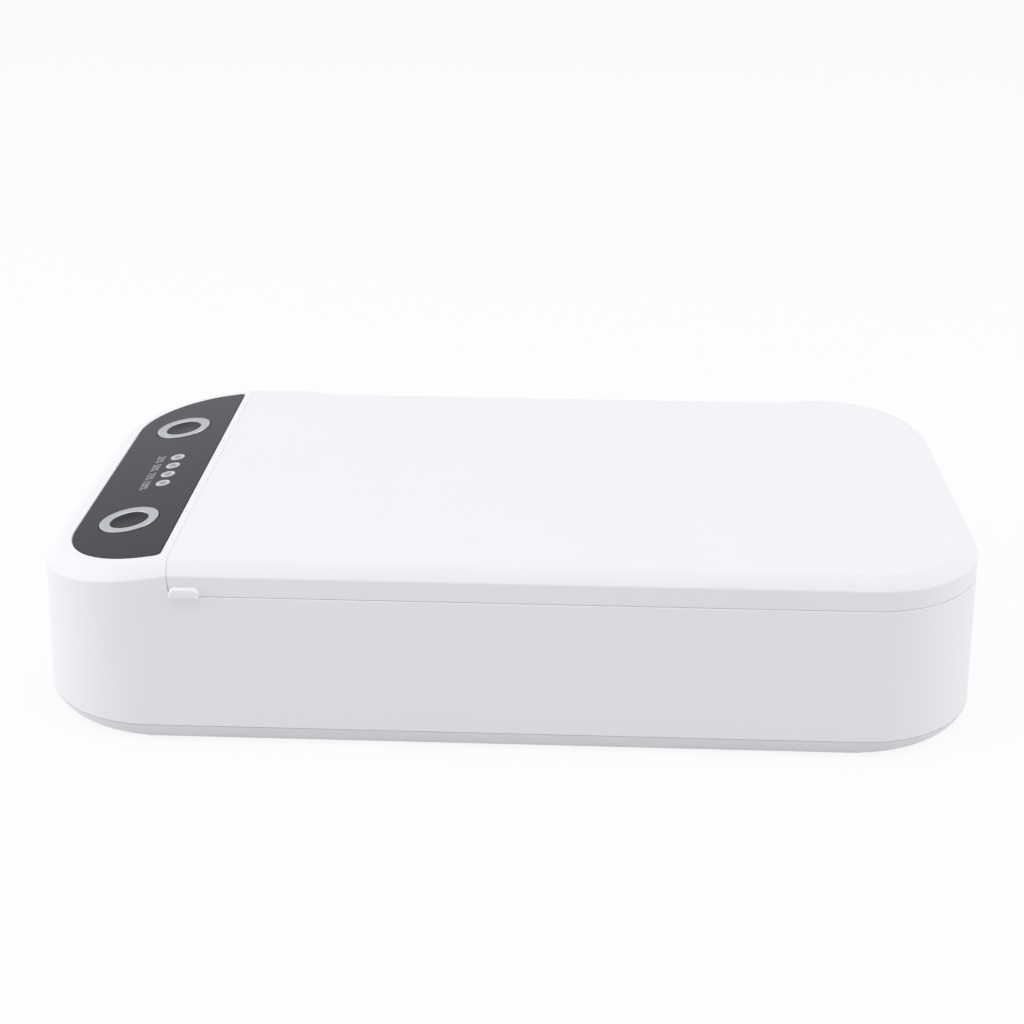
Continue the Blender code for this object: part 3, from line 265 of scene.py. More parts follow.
def grained(name, colour, grain, shades, gloss, relief=None, **sockets):
    """A finish whose tone, gloss and relief follow one grain. Gloss is a roughness and its swing."""
    finish = Finish(name)
    cloud = finish.noise(*grain)
    roughness, swing = gloss
    if swing:
        roughness = roughness + (cloud - 0.5) * swing
    tone = finish.mix(cloud, shade(colour, shades[0]), shade(colour, shades[1]))
    finish.set(Base_Color=tone, Roughness=roughness, **sockets)
    if relief:
        finish.bump(cloud, *relief)
    return finish.material


def plated_metal(name, colour, roughness):
    """Satin metal with a fine grain."""
    return grained(name, colour, (2400, 2, 0.6), (0.94, 1.04), (roughness, 0.12), (0.05, 0.0001), Metallic=1.0)


def soft_rubber(name, colour):
    """Matt rubber with a powdery skin."""
    return grained(name, colour, (1600, 3, 0.7), (0.8, 1.25), (0.86, 0), (0.25, 0.0002))


def felt(name, colour):
    """Pressed fibres."""
    return grained(name, colour, (5200, 4, 0.75), (0.7, 1.2), (0.95, 0), (0.7, 0.0004), Sheen_Weight=0.4)


def mirror_coat(name, colour):
    """Vacuum metallised plastic, bright but a little wavy."""
    return grained(name, colour, (90, 2), (0.97, 1), (0.16, 0.06), (0.05, 0.0006), Metallic=0.9)


def circuit_board(name, colour):
    """Solder mask with copper tracks faintly raised under it."""
    finish = Finish(name)
    values = {"Vector": finish.place(), "Scale": 420.0, "Randomness": 0.2}
    tracks = finish.node("ShaderNodeTexVoronoi", {"feature": "DISTANCE_TO_EDGE"}, values)
    lines = finish.ramp(tracks, (0.04, 1), (0.09, 0))
    finish.set(Base_Color=finish.mix(lines, colour, shade(colour, 1.9)), Roughness=0.42)
    finish.bump(lines, 0.3, 0.0001)
    return finish.material


def quartz(name, colour, cloud=0.0):
    """Clear quartz, seen through, with a faint cloud."""
    finish = Finish(name)
    veil = finish.noise(70, 2)
    finish.set(
        Base_Color=colour, Roughness=0.03 + veil * 0.03, Alpha=0.22 + cloud + veil * 0.05, Specular_IOR_Level=0.6
    )
    return finish.material


# shapes
def rounded_plate(left, right, front, rear, z, left_radius, right_radius, segments):
    """One flat face with round corners, facing up."""
    shape = bmesh.new()
    bmesh.ops.create_grid(shape, x_segments=1, y_segments=1, size=0.5)
    for vert in shape.verts:
        vert.co = (left if vert.co.x < 0 else right, front if vert.co.y < 0 else rear, z)
    for side, radius in ((left, left_radius), (right, right_radius)):
        if radius > TINY:
            round_off(shape, [v for v in shape.verts if abs(v.co.x - side) < TINY], radius, segments, "VERTICES")
    shape.faces.ensure_lookup_table()
    return shape


def raise_wall(shape, steps):
    """Raises the one face through (inset, rise) steps, with a wall behind it, and closes the solid."""
    cap = shape.faces[0]
    cap.normal_update()
    for inset, rise in steps:
        bmesh.ops.inset_region(
            shape, faces=[cap], thickness=inset, depth=rise, use_boundary=True, use_even_offset=True
        )
    bmesh.ops.holes_fill(shape, edges=[e for e in shape.edges if e.is_boundary], sides=0)
    bmesh.ops.recalc_face_normals(shape, faces=shape.faces)
    return shape


def block(left, right, front, rear, low, high):
    """A plain box."""
    return raise_wall(rounded_plate(left, right, front, rear, low, 0, 0, 1), [(0, high - low)])


def steps_of(profile):
    """The (inset, rise) steps between (inset, height) stations."""
    return [(b[0] - a[0], b[1] - a[1]) for a, b in zip(profile, profile[1:])]


def turned(profile, segments):
    """A solid of revolution about Z through (radius, height) points that begin and end on the axis."""
    shape = bmesh.new()
    verts = [shape.verts.new((radius, 0, z)) for radius, z in profile]
    edges = [shape.edges.new(pair) for pair in zip(verts, verts[1:])]
    bmesh.ops.spin(
        shape, geom=verts + edges, cent=(0, 0, 0), axis=(0, 0, 1), angle=math.tau, steps=segments, use_merge=True
    )
    bmesh.ops.remove_doubles(shape, verts=shape.verts, dist=TINY)
    bmesh.ops.recalc_face_normals(shape, faces=shape.faces)
    return shape


def moved(shape, matrix):
    """A shape carried to its place."""
    bmesh.ops.transform(shape, matrix=matrix, verts=shape.verts)
    return shape


def round_off(shape, parts, width, segments, affect="EDGES"):
    """Rounds a few edges or corners."""
    bmesh.ops.bevel(
        shape,
        geom=parts,
        offset=width,
        offset_type="OFFSET",
        segments=segments,
        profile=0.5,
        affect=affect,
        clamp_overlap=affect == "EDGES",
        material=-1,
    )


def split(shape, point, normal, geom=None, clear_inner=False):
    """Splits a shape with a plane."""
    bmesh.ops.bisect_plane(
        shape,
        geom=geom or (shape.verts[:] + shape.edges[:] + shape.faces[:]),
        dist=TINY,
        plane_co=point,
        plane_no=normal,
        clear_inner=clear_inner,
    )


def at(vert, axis, value):
    """Whether a vertex lies at a value along an axis."""
    return abs(vert.co[axis] - value) < 5 * TINY


def edges_at(shape, axis, value, above=-1):
    """The edges that lie in a plane, above a height."""
    return [e for e in shape.edges if all(at(v, axis, value) and v.co.z > above for v in e.verts)]


def fill_flat(shape, axis, value):
    """Fills the open loop that lies in a plane."""
    loop = [e for e in edges_at(shape, axis, value) if e.is_boundary or e.is_wire]
    bmesh.ops.contextual_create(shape, geom=loop)


def linked(name, data):
    """An object in the scene, from its data."""
    made = bpy.data.objects.new(name, data)
    bpy.context.scene.collection.objects.link(made)
    return made


def bare_object(name, shape):
    """A shape as an object at the origin."""
    mesh = bpy.data.meshes.new(name)
    shape.to_mesh(mesh)
    shape.free()
    return linked(name, mesh)


def coat(mesh, material):
    """Gives a mesh its one material."""
    mesh.materials.clear()
    mesh.materials.append(material)


class Moulding:
    """A piece in the making, with the shapes that join or cut it."""

    def __init__(self, name, shape):
        self.piece = bare_object(name, shape)
        self.tools = []

    def use(self, operation, shape, matrix=None):
        """Joins or cuts with one more shape."""
        helper = bare_object("helper", moved(shape, matrix or Matrix.Identity(4)))
        self.tools.append(helper)
        step = self.piece.modifiers.new(operation, "BOOLEAN")
        step.operation = operation
        step.solver = "EXACT"
        step.object = helper

    def join(self, shape, matrix=None):
        self.use("UNION", shape, matrix)

    def cut(self, shape, matrix=None):
        self.use("DIFFERENCE", shape, matrix)

    def finish(self, body, slot, material, *nodes):
        """Applies the tools, smooths the shading and puts the piece on its body."""
        view = bpy.context.evaluated_depsgraph_get()
        done = bpy.data.meshes.new_from_object(self.piece.evaluated_get(view))
        self.piece.modifiers.clear()
        self.piece.data = done
        for helper in self.tools:
            bpy.data.objects.remove(helper, do_unlink=True)
        clean = bmesh.new()
        clean.from_mesh(done)
        bmesh.ops.remove_doubles(clean, verts=clean.verts, dist=TINY)
        bmesh.ops.dissolve_degenerate(clean, edges=clean.edges, dist=TINY)
        clean.to_mesh(done)
        clean.free()
        return dress(self.piece, body, slot, material, *nodes)


def dress(piece, body, slot, material, *nodes):
    """Smooth shading, material and body of a finished piece."""
    coat(piece.data, material)
    piece.data.shade_smooth()
    piece.data.set_sharp_from_angle(angle=math.radians(SHARP_ANGLE))
    weigh = piece.modifiers.new("weighted normals", "WEIGHTED_NORMAL")
    weigh.keep_sharp = True
    weigh.weight = 60
    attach(piece, body)
    if nodes:
        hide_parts(*nodes)
    return piece


def fine_copy(name, node, body, slot, material, width):
    """A carried piece's own mesh, merged and smoothed, with its edges eased."""
    shape = bmesh.new()
    shape.from_mesh(frame["nodes"][node].data)
    bmesh.ops.remove_doubles(shape, verts=shape.verts, dist=TINY)
    bmesh.ops.dissolve_limit(
        shape, angle_limit=math.radians(0.5), use_dissolve_boundaries=False, verts=shape.verts, edges=shape.edges
    )
    piece = bare_object(name, shape)
    ease = piece.modifiers.new("eased edges", "BEVEL")
    ease.width = width
    ease.segments = 2
    ease.limit_method = "ANGLE"
    ease.angle_limit = math.radians(40)
    ease.harden_normals = False
    return dress(piece, body, slot, material, node)


# places and sizes that pieces share
ALONG_X = Matrix.Rotation(math.pi / 2, 4, "Y")
CLEARANCE = 0.0003
OVERRUN = 0.002
EASE = 0.00025
POST_HOLE = 0.001
# hinges
HINGE_Y = (PIN_LOW.y + PIN_HIGH.y) / 2
HINGE_Z = (PIN_LOW.z + PIN_HIGH.z) / 2
HINGE_RADIUS = 0.0015
BASE_KNUCKLE = 0.008
LID_KNUCKLE = 0.0074
ARM_HEIGHT = 0.0022
PIN_BORE = 0.00105
# walls and their edges
WALL = 0.0024
RIM_WALL = 0.0014
LID_WALL = 0.002
PARTITION = 0.002
INNER_CORNER = 0.0015
LEDGE_DROP = 0.0017
COVER_GAP = 0.00005
END_REACH = 0.0004
CRISP_EDGE = 0.0003
SHOULDER_FADE = 0.0006
# the notch in the lid's rear edge
NOTCH_DEPTH = 0.0023
NOTCH_LEFT = 0.0193
NOTCH_RIGHT = 0.034
NOTCH_RAMP = 0.0085
NOTCH_STEPS = 12
# bottom cover and the posts for its screws
COVER_FLOOR = 0.002
COVER_STEPS = ((0.00012, -0.0011), (0.00015, -0.0009), (0.00016, -0.0006), (0.0003, -0.00045))
LIP_WALL = 0.0014
LIP_TOP = 0.0062
LIP_START = 0.001
LIP_HEIGHT = 0.0032
BOSS = 0.0034
BOSS_TOP = 0.0105
BOSS_HOLE = 0.0014
# finger tab
TAB_LEFT = 0.00072
TAB_LENGTH = 0.0066
TAB_HEIGHT = 0.0019
TAB_REACH = 0.001
TAB_LEAN = 0.22
# buttons
KEY_RISE = 0.00035
INLAY_DROP = 0.00014
# studio
FLOOR_REACH = 24
FLOOR_DROP = 0.00005


# what the settings hold
def case():
    return bpy.context.scene.sanitizer_case


def panel():
    return bpy.context.scene.sanitizer_panel


def colours():
    return bpy.context.scene.sanitizer_colours


def studio():
    return bpy.context.scene.sanitizer_studio


# places worked out from them
def lean(z):
    """How far the wall has leaned in at a height."""
    return case().draft * (z - FLOOR) / case().height


def top():
    """Height of the lid's flat top."""
    return FLOOR + case().height


def seam():
    """Height of the seam between lid and base."""
    return FLOOR + case().seam


def rear_wall():
    """The rear wall's place at the seam."""
    return case().depth / 2 - lean(seam())


def lid_left():
    """Where the lid's left end stands."""
    return case().head_x + case().end_gap


def head_frame():
    """The head's sloped top: its origin at the lid's seam, +X up the slope."""
    turn = Matrix.Rotation(-math.atan(case().slope), 4, "Y")
    return Matrix.Translation((case().head_x, 0, top())) @ turn


def panel_middle():
    """The panel's middle across the head."""
    return -(panel().margin + panel().width / 2)


def middle_of(node):
    """The middle of a node's box."""
    low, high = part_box(node)
    return (low + high) / 2


def spots(name, count=4):
    """Where the pieces of a numbered set stand, seen from above."""
    return [middle_of(f"{name}_{i}")[:2] for i in range(1, count + 1)]


def hinge_places():
    """The middles of both hinges along X."""
    return [middle_of(f"{side}_hinge_pin").x for side in ("left", "right")]


def deepest(node):
    """How low a node reaches in the head's frame."""
    inverse = head_frame().inverted()
    return min((inverse @ v.co).z for v in frame["nodes"][node].data.vertices)


def shoulder(low, segments=5):
    """Stations from a height on the wall over the crisp edge and the bowed shoulder to the flat top."""
    size = case()
    incline = math.atan2(size.shoulder_drop, size.shoulder_width)
    flattest = incline - size.shoulder_bow
    radius = math.hypot(size.shoulder_width, size.shoulder_drop) / (2 * math.sin(size.shoulder_bow))
    stations = [(lean(low), low)]
    for i in range(segments + 1):
        angle = flattest + 2 * size.shoulder_bow * (1 - i / segments)
        z = top() - radius * (math.cos(flattest) - math.cos(angle))
        stations.append((lean(z) + size.shoulder_width - radius * (math.sin(angle) - math.sin(flattest)), z))
    inner = stations[-1][0] + SHOULDER_FADE * 2
    stations.append((inner, top()))
    return softened(stations, {1: CRISP_EDGE, segments + 1: SHOULDER_FADE})


def softened(points, cuts, steps=5):
    """A run of points with some corners rounded off, each cut back by a distance."""
    run = []
    for i, point in enumerate(points):
        corner = Vector(point)
        if i not in cuts:
            run.append(tuple(corner))
            continue
        before, after = Vector(points[i - 1]) - corner, Vector(points[i + 1]) - corner
        start = corner + before.normalized() * min(cuts[i], before.length * 0.95)
        end = corner + after.normalized() * min(cuts[i], after.length * 0.95)
        for step in range(steps + 1):
            t = step / steps
            run.append(tuple(start * (1 - t) ** 2 + corner * 2 * t * (1 - t) + end * t**2))
    return run


def body_plate(z, inset, segments=20):
    """The body's plan at a height, as one face."""
    size = case()
    right, rear = size.length / 2 - inset, size.depth / 2 - inset
    radius = size.corner - inset
    return rounded_plate(-right, right, -rear, rear, z, radius, radius, segments)


def bay_plate(left, inset, z, segments=16):
    """The plan of the bay right of the head, set in from the outside."""
    size = case()
    right, rear = size.length / 2 - inset, size.depth / 2 - inset
    return rounded_plate(left, right, -rear, rear, z, INNER_CORNER, size.corner - inset, segments)


def notched(plate):
    """A plan whose rear side steps in where the hinges stand."""
    rear = max(v.co.y for v in plate.verts)
    cuts = 2 * (NOTCH_STEPS + 1)
    edge = max(edges_at(plate, 1, rear), key=lambda e: e.calc_length())
    bmesh.ops.bisect_edges(plate, edges=[edge], cuts=cuts)
    ends = sorted((v for v in plate.verts if at(v, 1, rear)), key=lambda v: v.co.x)
    inner = [v for v in ends if len(v.link_edges) == 2][-cuts - 1 : -1]
    places = []
    for middle, way in ((lid_left() + NOTCH_LEFT, 1), (case().length / 2 - NOTCH_RIGHT, -1)):
        for i in range(NOTCH_STEPS + 1):
            t = i / NOTCH_STEPS
            places.append((middle + NOTCH_RAMP * (t - 0.5) * way, NOTCH_DEPTH * (1 - math.cos(math.pi * t)) / 2))
    places.sort()
    for vert, (x, depth) in zip(inner, places):
        vert.co.x, vert.co.y = x, rear - depth
    return plate


# shells
def lean_end(shape, end, amount):
    """Leans the end face between the head and the lid."""
    for vert in shape.verts:
        if abs(vert.co.x - end) < END_REACH and vert.co.z > seam() - END_REACH:
            vert.co.x += amount * (top() - vert.co.z) / (top() - seam())


def base_skin():
    """The tub and the control head in one skin, with the lid's bay stepped out of it."""
    size = case()
    foot = FLOOR + size.crease + COVER_GAP
    head, low = size.head_x, seam()
    shape = raise_wall(body_plate(foot, lean(foot)), steps_of(shoulder(foot)))
    split(shape, (head, 0, 0), (1, 0, 0))
    right = [f for f in shape.faces if f.calc_center_median().x > head]
    geom = list({v for f in right for v in f.verts}) + list({e for f in right for e in f.edges}) + right
    split(shape, (0, 0, low), (0, 0, 1), geom)
    gone = [f for f in shape.faces if f.calc_center_median().x > head and f.calc_center_median().z > low]
    bmesh.ops.delete(shape, geom=gone, context="FACES")
    bmesh.ops.contextual_create(shape, geom=[v for v in shape.verts if at(v, 0, head) and at(v, 2, low)])
    fill_flat(shape, 0, head)
    fill_flat(shape, 2, low)
    for vert in shape.verts:
        if vert.co.x < head - TINY and vert.co.z > foot + TINY:
            vert.co.z -= size.slope * (head - vert.co.x)
    bmesh.ops.recalc_face_normals(shape, faces=shape.faces)
    rim = [e for e in edges_at(shape, 2, low) if not all(at(v, 0, head) for v in e.verts)]
    hem = edges_at(shape, 2, foot)
    round_off(shape, rim, size.rim_edge, 4)
    round_off(shape, edges_at(shape, 0, head, low + size.rim_edge), size.end_edge, 2)
    round_off(shape, hem, size.edge, 3)
    lean_end(shape, head, size.end_lean)
    return shape


def lid_skin():
    """The lid's outside: a low skirt, the rounded shoulder and the flat top, cut square at its left end."""
    size = case()
    foot = seam() + size.gap
    stations = shoulder(foot)
    stations[0] = (stations[0][0] + size.recess, foot)
    shape = raise_wall(notched(body_plate(foot, stations[0][0])), steps_of(stations))
    split(shape, (lid_left(), 0, 0), (1, 0, 0), clear_inner=True)
    fill_flat(shape, 0, lid_left())
    bmesh.ops.recalc_face_normals(shape, faces=shape.faces)
    round_off(shape, edges_at(shape, 2, foot), size.edge, 3)
    round_off(shape, edges_at(shape, 0, lid_left(), foot + size.edge), size.end_edge, 2)
    lean_end(shape, lid_left(), size.end_lean + size.end_spread)
    return shape


def barrel(radius, start, end, edge=0.0002, segments=28):
    """A round bar along X on the hinge's axis."""
    profile = [(0, start), (radius - edge, start), (radius, start + edge)]
    profile += [(radius, end - edge), (radius - edge, end), (0, end)]
    return moved(turned(profile, segments), Matrix.Translation((0, HINGE_Y, HINGE_Z)) @ ALONG_X)


def turned_piece(name, section, segments, place, *dressing):
    """A piece turned from its section, carried to its place and dressed."""
    return dress(bare_object(name, moved(turned(section, segments), place)), *dressing)


def post(spot, profile, segments=24):
    """A round post or hole on a spot, from its section."""
    return moved(turned(profile, segments), Matrix.Translation((*spot, 0)))


def pillar(spot, radius, low, high, segments=24):
    """A plain round post or hole on a spot."""
    return post(spot, [(0, low), (radius, low), (radius, high), (0, high)], segments)


class SANITIZER_OT_base(bpy.types.Operator):
    """Build the base shell: tub, control head and rear knuckles in one moulding"""

    bl_idname = "sanitizer.base"
    bl_label = "Base shell"

    def execute(self, context):
        size = case()
        white = moulded_plastic("white shell plastic", tuple(colours().white), 0.38, specular=0.12)
        base = Moulding("base_shell_moulding", base_skin())
        left = size.head_x + CLEARANCE
        foot, ledge = FLOOR + size.crease, seam() - LEDGE_DROP
        base.cut(raise_wall(bay_plate(left, WALL + lean(ledge), foot - OVERRUN), [(0, ledge - foot + OVERRUN)]))
        rim = bay_plate(left, RIM_WALL + lean(seam()), ledge - CLEARANCE)
        base.cut(raise_wall(rim, [(0, top() - ledge + OVERRUN)]))
        base.cut(self.head_room(foot))
        base.cut(raise_wall(body_plate(0, WALL, 12), [(0, FLOOR + LIP_TOP)]))
        base.cut(self.panel_recess(), head_frame())
        base.cut(self.window(), head_frame())
        for spot in spots("bottom_screw"):
            base.join(pillar(spot, BOSS, FLOOR + COVER_FLOOR + CLEARANCE, FLOOR + BOSS_TOP))
            base.cut(pillar(spot, BOSS_HOLE, 0, FLOOR + BOSS_TOP - 0.0015, 16))
        self.cut_socket(base)
        for middle in hinge_places():
            start, end = middle - BASE_KNUCKLE / 2, middle + BASE_KNUCKLE / 2
            base.join(self.neck(start, end))
            base.join(barrel(HINGE_RADIUS, start, end))
            base.cut(barrel(PIN_BORE, start - OVERRUN, end + OVERRUN))
        base.finish("base", "white_gloss", white, "base_shell")
        return {"FINISHED"}

    def head_room(self, foot):
        """The hollow of the head, with a roof that follows the slope."""
        size = case()
        inset = WALL + size.draft
        rear, radius = size.depth / 2 - inset, size.corner - inset
        left, right = inset - size.length / 2, size.head_x - PARTITION
        plate = rounded_plate(left, right, -rear, rear, foot - OVERRUN, radius, INNER_CORNER, 12)
        room = raise_wall(plate, [(0, top() - 0.004 - foot + OVERRUN)])
        for vert in room.verts:
            if vert.co.z > foot:
                vert.co.z -= size.slope * (size.head_x - vert.co.x)
        return room

    def panel_recess(self):
        """The recess for the panel, with a small chamfer round its mouth."""
        lip = panel().lip
        flare = OVERRUN + lip
        deep = panel().thickness + CLEARANCE - lip
        return raise_wall(panel_plate(panel().gap + flare, OVERRUN), [(flare, -flare), (0, -deep)])

    def window(self):
        """The opening under the panel that the keys and the lights reach through."""
        middle, half, reach, deep, corner = panel_middle(), 0.0095, 0.04025, 0.006, 0.007
        plate = rounded_plate(middle - half, middle + half, -reach, reach, -deep, corner, corner, 8)
        return raise_wall(plate, [(0, deep)])

    def cut_socket(self, base):
        """The slot for the power socket."""
        low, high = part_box("power_socket")
        half = (high.z - low.z) / 2 + CLEARANCE
        plate = rounded_plate(-half, half, low.y - CLEARANCE, high.y + CLEARANCE, 0, INNER_CORNER, INNER_CORNER, 8)
        slot = raise_wall(plate, [(0, WALL + 2 * OVERRUN)])
        base.cut(slot, Matrix.Translation((low.x - OVERRUN, 0, (low.z + high.z) / 2)) @ ALONG_X)

    def neck(self, start, end):
        """The gusset that carries a rear knuckle."""
        wall, foot = rear_wall(), seam() - 0.0022
        rear = HINGE_Y + HINGE_RADIUS - EASE
        shape = block(start + EASE, end - EASE, wall - RIM_WALL + CLEARANCE, rear, foot, HINGE_Z)
        split(shape, (0, wall, 0), (0, 1, 0))
        for vert in shape.verts:
            if at(vert, 2, foot) and at(vert, 1, wall):
                vert.co.z -= HINGE_RADIUS
        return shape


def panel_plate(grow, z):
    """The control panel's plan in the head's frame, grown by a distance."""
    size = panel()
    left, right = -size.margin - size.width - grow, grow - size.margin
    half = size.length / 2 + grow
    return rounded_plate(left, right, -half, half, z, size.corner + grow, size.small_corner + grow, 14)


class SANITIZER_OT_cover(bpy.types.Operator):
    """Build the bottom cover with its lip, and the feet and screws under it"""

    bl_idname = "sanitizer.cover"
    bl_label = "Bottom cover"

    def execute(self, context):
        size = case()
        high = FLOOR + size.crease
        shape = body_plate(high, lean(high))
        raise_wall(shape, COVER_STEPS)
        self.round_corners(shape, high)
        cover = Moulding("bottom_cover_moulding", shape)
        inset = WALL + lean(high) + CLEARANCE
        cover.join(raise_wall(body_plate(high - LIP_START, inset, 16), [(0, LIP_HEIGHT)]))
        cover.cut(raise_wall(body_plate(FLOOR + COVER_FLOOR, inset + LIP_WALL, 16), [(0, 0.006)]))
        under, over, end = FLOOR + 0.0013, FLOOR + COVER_FLOOR, high + 0.004
        sunk, room = 0.0028, BOSS + CLEARANCE
        hole = [(0, 0), (sunk, 0), (sunk, under), (BOSS_HOLE, under)]
        hole += [(BOSS_HOLE, over), (room, over), (room, end), (0, end)]
        for screw, foot in zip(spots("bottom_screw"), spots("rubber_foot")):
            cover.cut(post(screw, hole))
            cover.cut(pillar(foot, 0.0053, 0, FLOOR + 0.0008, 36))
        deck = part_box("driver_board")[0].z - CLEARANCE
        for spot in spots("driver_screw", 2):
            cover.join(pillar(spot, 0.0024, FLOOR + 0.001, deck))
            cover.cut(pillar(spot, POST_HOLE, deck - 0.0035, deck + CLEARANCE, 16))
        # The cover's white is set darker than the shells', at 0.86 of their colour.
        white = moulded_plastic("white cover plastic", shade(tuple(colours().white), 0.86), 0.3)
        cover.finish("base", "white_gloss", white, "bottom_cover")
        rubber = soft_rubber("grey foot rubber", (0.11, 0.11, 0.12))
        steel = plated_metal("zinc screw", (0.5, 0.5, 0.51), 0.34)
        for i in range(1, 5):
            self.foot(i, rubber)
            turned_screw(f"bottom_screw_{i}", 0.0025, 0.001, 0.0011, steel)
        return {"FINISHED"}

    def round_corners(self, shape, high):
        """Make the corners rounder than the walls' are, more so the lower they lie."""
        size = case()
        middle = Vector((size.length / 2 - size.corner, size.depth / 2 - size.corner))
        for vert in shape.verts:
            out = Vector((abs(vert.co.x), abs(vert.co.y))) - middle
            if min(out) > -TINY:
                out.normalize()
                more = size.foot_round * (high - vert.co.z) / size.crease
                vert.co.x -= math.copysign(more * (1 - out.x), vert.co.x)
                vert.co.y -= math.copysign(more * (1 - out.y), vert.co.y)

    def foot(self, number, rubber):
        """One round foot with a soft edge and a shallow dish below."""
        node = f"rubber_foot_{number}"
        low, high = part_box(node)
        radius = (high.x - low.x) / 2
        profile = [(0, 0.00012), (radius * 0.6, 0.00012), (radius * 0.68, 0), (radius - 0.00045, 0)]
        profile += [(radius - 0.00013, 0.00013), (radius, 0.00045), (radius, high.z), (0, high.z)]
        place = Matrix.Translation((*middle_of(node)[:2], 0))
        turned_piece(f"foot_pad_{number}", profile, 40, place, "base", "rubber_grey", rubber, node)


def turned_screw(node, head, rise, shank, steel, body="base"):
    """A slotted screw that points up, with a low domed head."""
    spot = middle_of(node)
    foot, tip = (corner.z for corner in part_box(node))
    dome = rise * 0.3
    profile = [(0, foot), (head * 0.7, foot + dome * 0.2), (head * 0.93, foot + dome * 0.7), (head, foot + dome)]
    profile += [(head, foot + rise), (shank, foot + rise), (shank, tip - shank * 0.6), (shank * 0.4, tip), (0, tip)]
    screw = Moulding(f"{node}_turned", post(spot[:2], profile, 28))
    for angle in (0.5, 0.5 + math.pi / 2):
        bit = block(-head * 0.62, head * 0.62, -0.00028, 0.00028, -rise, rise * 0.62)
        screw.cut(bit, Matrix.Translation((spot.x, spot.y, foot)) @ Matrix.Rotation(angle, 4, "Z"))
    screw.finish(body, "screw_steel", steel, node)


class SANITIZER_OT_lid(bpy.types.Operator):
    """Build the lid with its finger tab, screw posts and hinge knuckles"""

    bl_idname = "sanitizer.lid"
    bl_label = "Lid"

    def execute(self, context):
        size = case()
        foot = seam() + size.gap
        lid = Moulding("lid_shell_moulding", lid_skin())
        inset = LID_WALL + size.draft
        roof = top() - LID_WALL
        inside = notched(bay_plate(lid_left() + LID_WALL, inset, foot - OVERRUN))
        lid.cut(raise_wall(inside, [(0, roof - foot + OVERRUN - 0.0006), (0.0006, 0.0006)]))
        lid.join(self.tab())
        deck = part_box("lid_liner")[1].z + CLEARANCE
        for spot in spots("lid_screw"):
            lid.join(pillar(spot, 0.0026, deck, roof + 0.0005))
            lid.cut(pillar(spot, POST_HOLE, foot, deck + 0.0027, 16))
        wall, half = rear_wall() - NOTCH_DEPTH - LID_WALL / 2, ARM_HEIGHT / 2
        for middle in hinge_places():
            for side in (-1, 1):
                near = middle + side * (BASE_KNUCKLE / 2 + CLEARANCE)
                start, end = sorted((near, near + side * LID_KNUCKLE))
                lid.join(block(start + EASE, end - EASE, wall, HINGE_Y, HINGE_Z - half, HINGE_Z + half))
                lid.join(barrel(HINGE_RADIUS, start, end))
                lid.cut(barrel(PIN_BORE, start - CLEARANCE * 2, end + CLEARANCE * 2))
        white = moulded_plastic("white lid plastic", tuple(colours().white), 0.34, specular=0.12)
        lid.finish("lid", "white_gloss", white, "lid_shell")
        return {"FINISHED"}

    def tab(self):
        """The small finger tab on the front of the lid."""
        front = LID_LOW.y
        left, low = lid_left() + TAB_LEFT, seam() + case().gap + 0.0003
        plate = rounded_plate(left, left + TAB_LENGTH, low - 0.002, low + TAB_HEIGHT, 0, 0.0012, 0.0012, 6)
        raise_wall(plate, [(0, 0.0019), (0.00008, 0.00025), (0.00013, 0.0002), (0.0002, 0.00015)])
        shape = moved(plate, Matrix.Translation((0, front + 0.0025, 0)) @ Matrix.Rotation(math.pi / 2, 4, "X"))
        split(shape, (0, 0, low), (0, 0, 1), clear_inner=True)
        fill_flat(shape, 2, low)
        for vert in shape.verts:
            if vert.co.y < front + TAB_REACH:
                vert.co.y += (vert.co.z - low) * TAB_LEAN
        bmesh.ops.recalc_face_normals(shape, faces=shape.faces)
        return shape


class SANITIZER_OT_panel(bpy.types.Operator):
    """Build the black control panel with its numbers"""

    bl_idname = "sanitizer.panel"
    bl_label = "Control panel"

    def execute(self, context):
        size = panel()
        shape = panel_plate(0, -size.thickness)
        raise_wall(shape, [(0, size.thickness - 0.0001), (0.0001, 0.0001)])
        sheet = Moulding("control_panel_moulding", moved(shape, head_frame()))
        keys = [(0, side * size.spacing / 2, size.button + 0.0002, 56) for side in (-1, 1)]
        lights = [(size.lens_offset, y, size.lens + 0.00012, 28) for y in lens_places()]
        for across, along, radius, segments in keys + lights:
            hole = pillar((panel_middle() + across, along), radius, -0.004, 0.002, segments)
            sheet.cut(hole, head_frame())
        gloss = moulded_plastic("black panel gloss", tuple(colours().black), 0.07, 0.004, 0.12)
        sheet.finish("base", "black_gloss", gloss, "control_panel")
        ink = grained("grey print", tuple(colours().label), (3000,), (0.8, 1), (0.5, 0))
        for y, words in zip(lens_places(), ("100%", "75%", "50%", "25%")):
            self.number(words, y, ink)
        return {"FINISHED"}

    def number(self, words, y, ink):
        """One printed number beside its light."""
        text = bpy.data.curves.new("number", "FONT")
        text.body = words
        text.size = panel().label
        text.align_x = text.align_y = "CENTER"
        text.extrude = 0.000005
        text.offset = 0.00004
        text.space_character = 0.95
        maker = linked("number", text)
        mesh = bpy.data.meshes.new_from_object(maker.evaluated_get(bpy.context.evaluated_depsgraph_get()))
        bpy.data.objects.remove(maker, do_unlink=True)
        bpy.data.curves.remove(text)
        spot = Matrix.Translation((panel_middle() - 0.0014, y, 0.00001))
        mesh.transform(head_frame() @ spot @ Matrix.Rotation(-math.pi / 2, 4, "Z"))
        coat(mesh, ink)
        made = linked(f"number_{words[:-1]}", mesh)
        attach(made, "base")


def lens_places():
    """Places of the lights along the panel, from the front to the rear."""
    return [panel().lens_pitch * (i - 1.5) for i in range(4)]


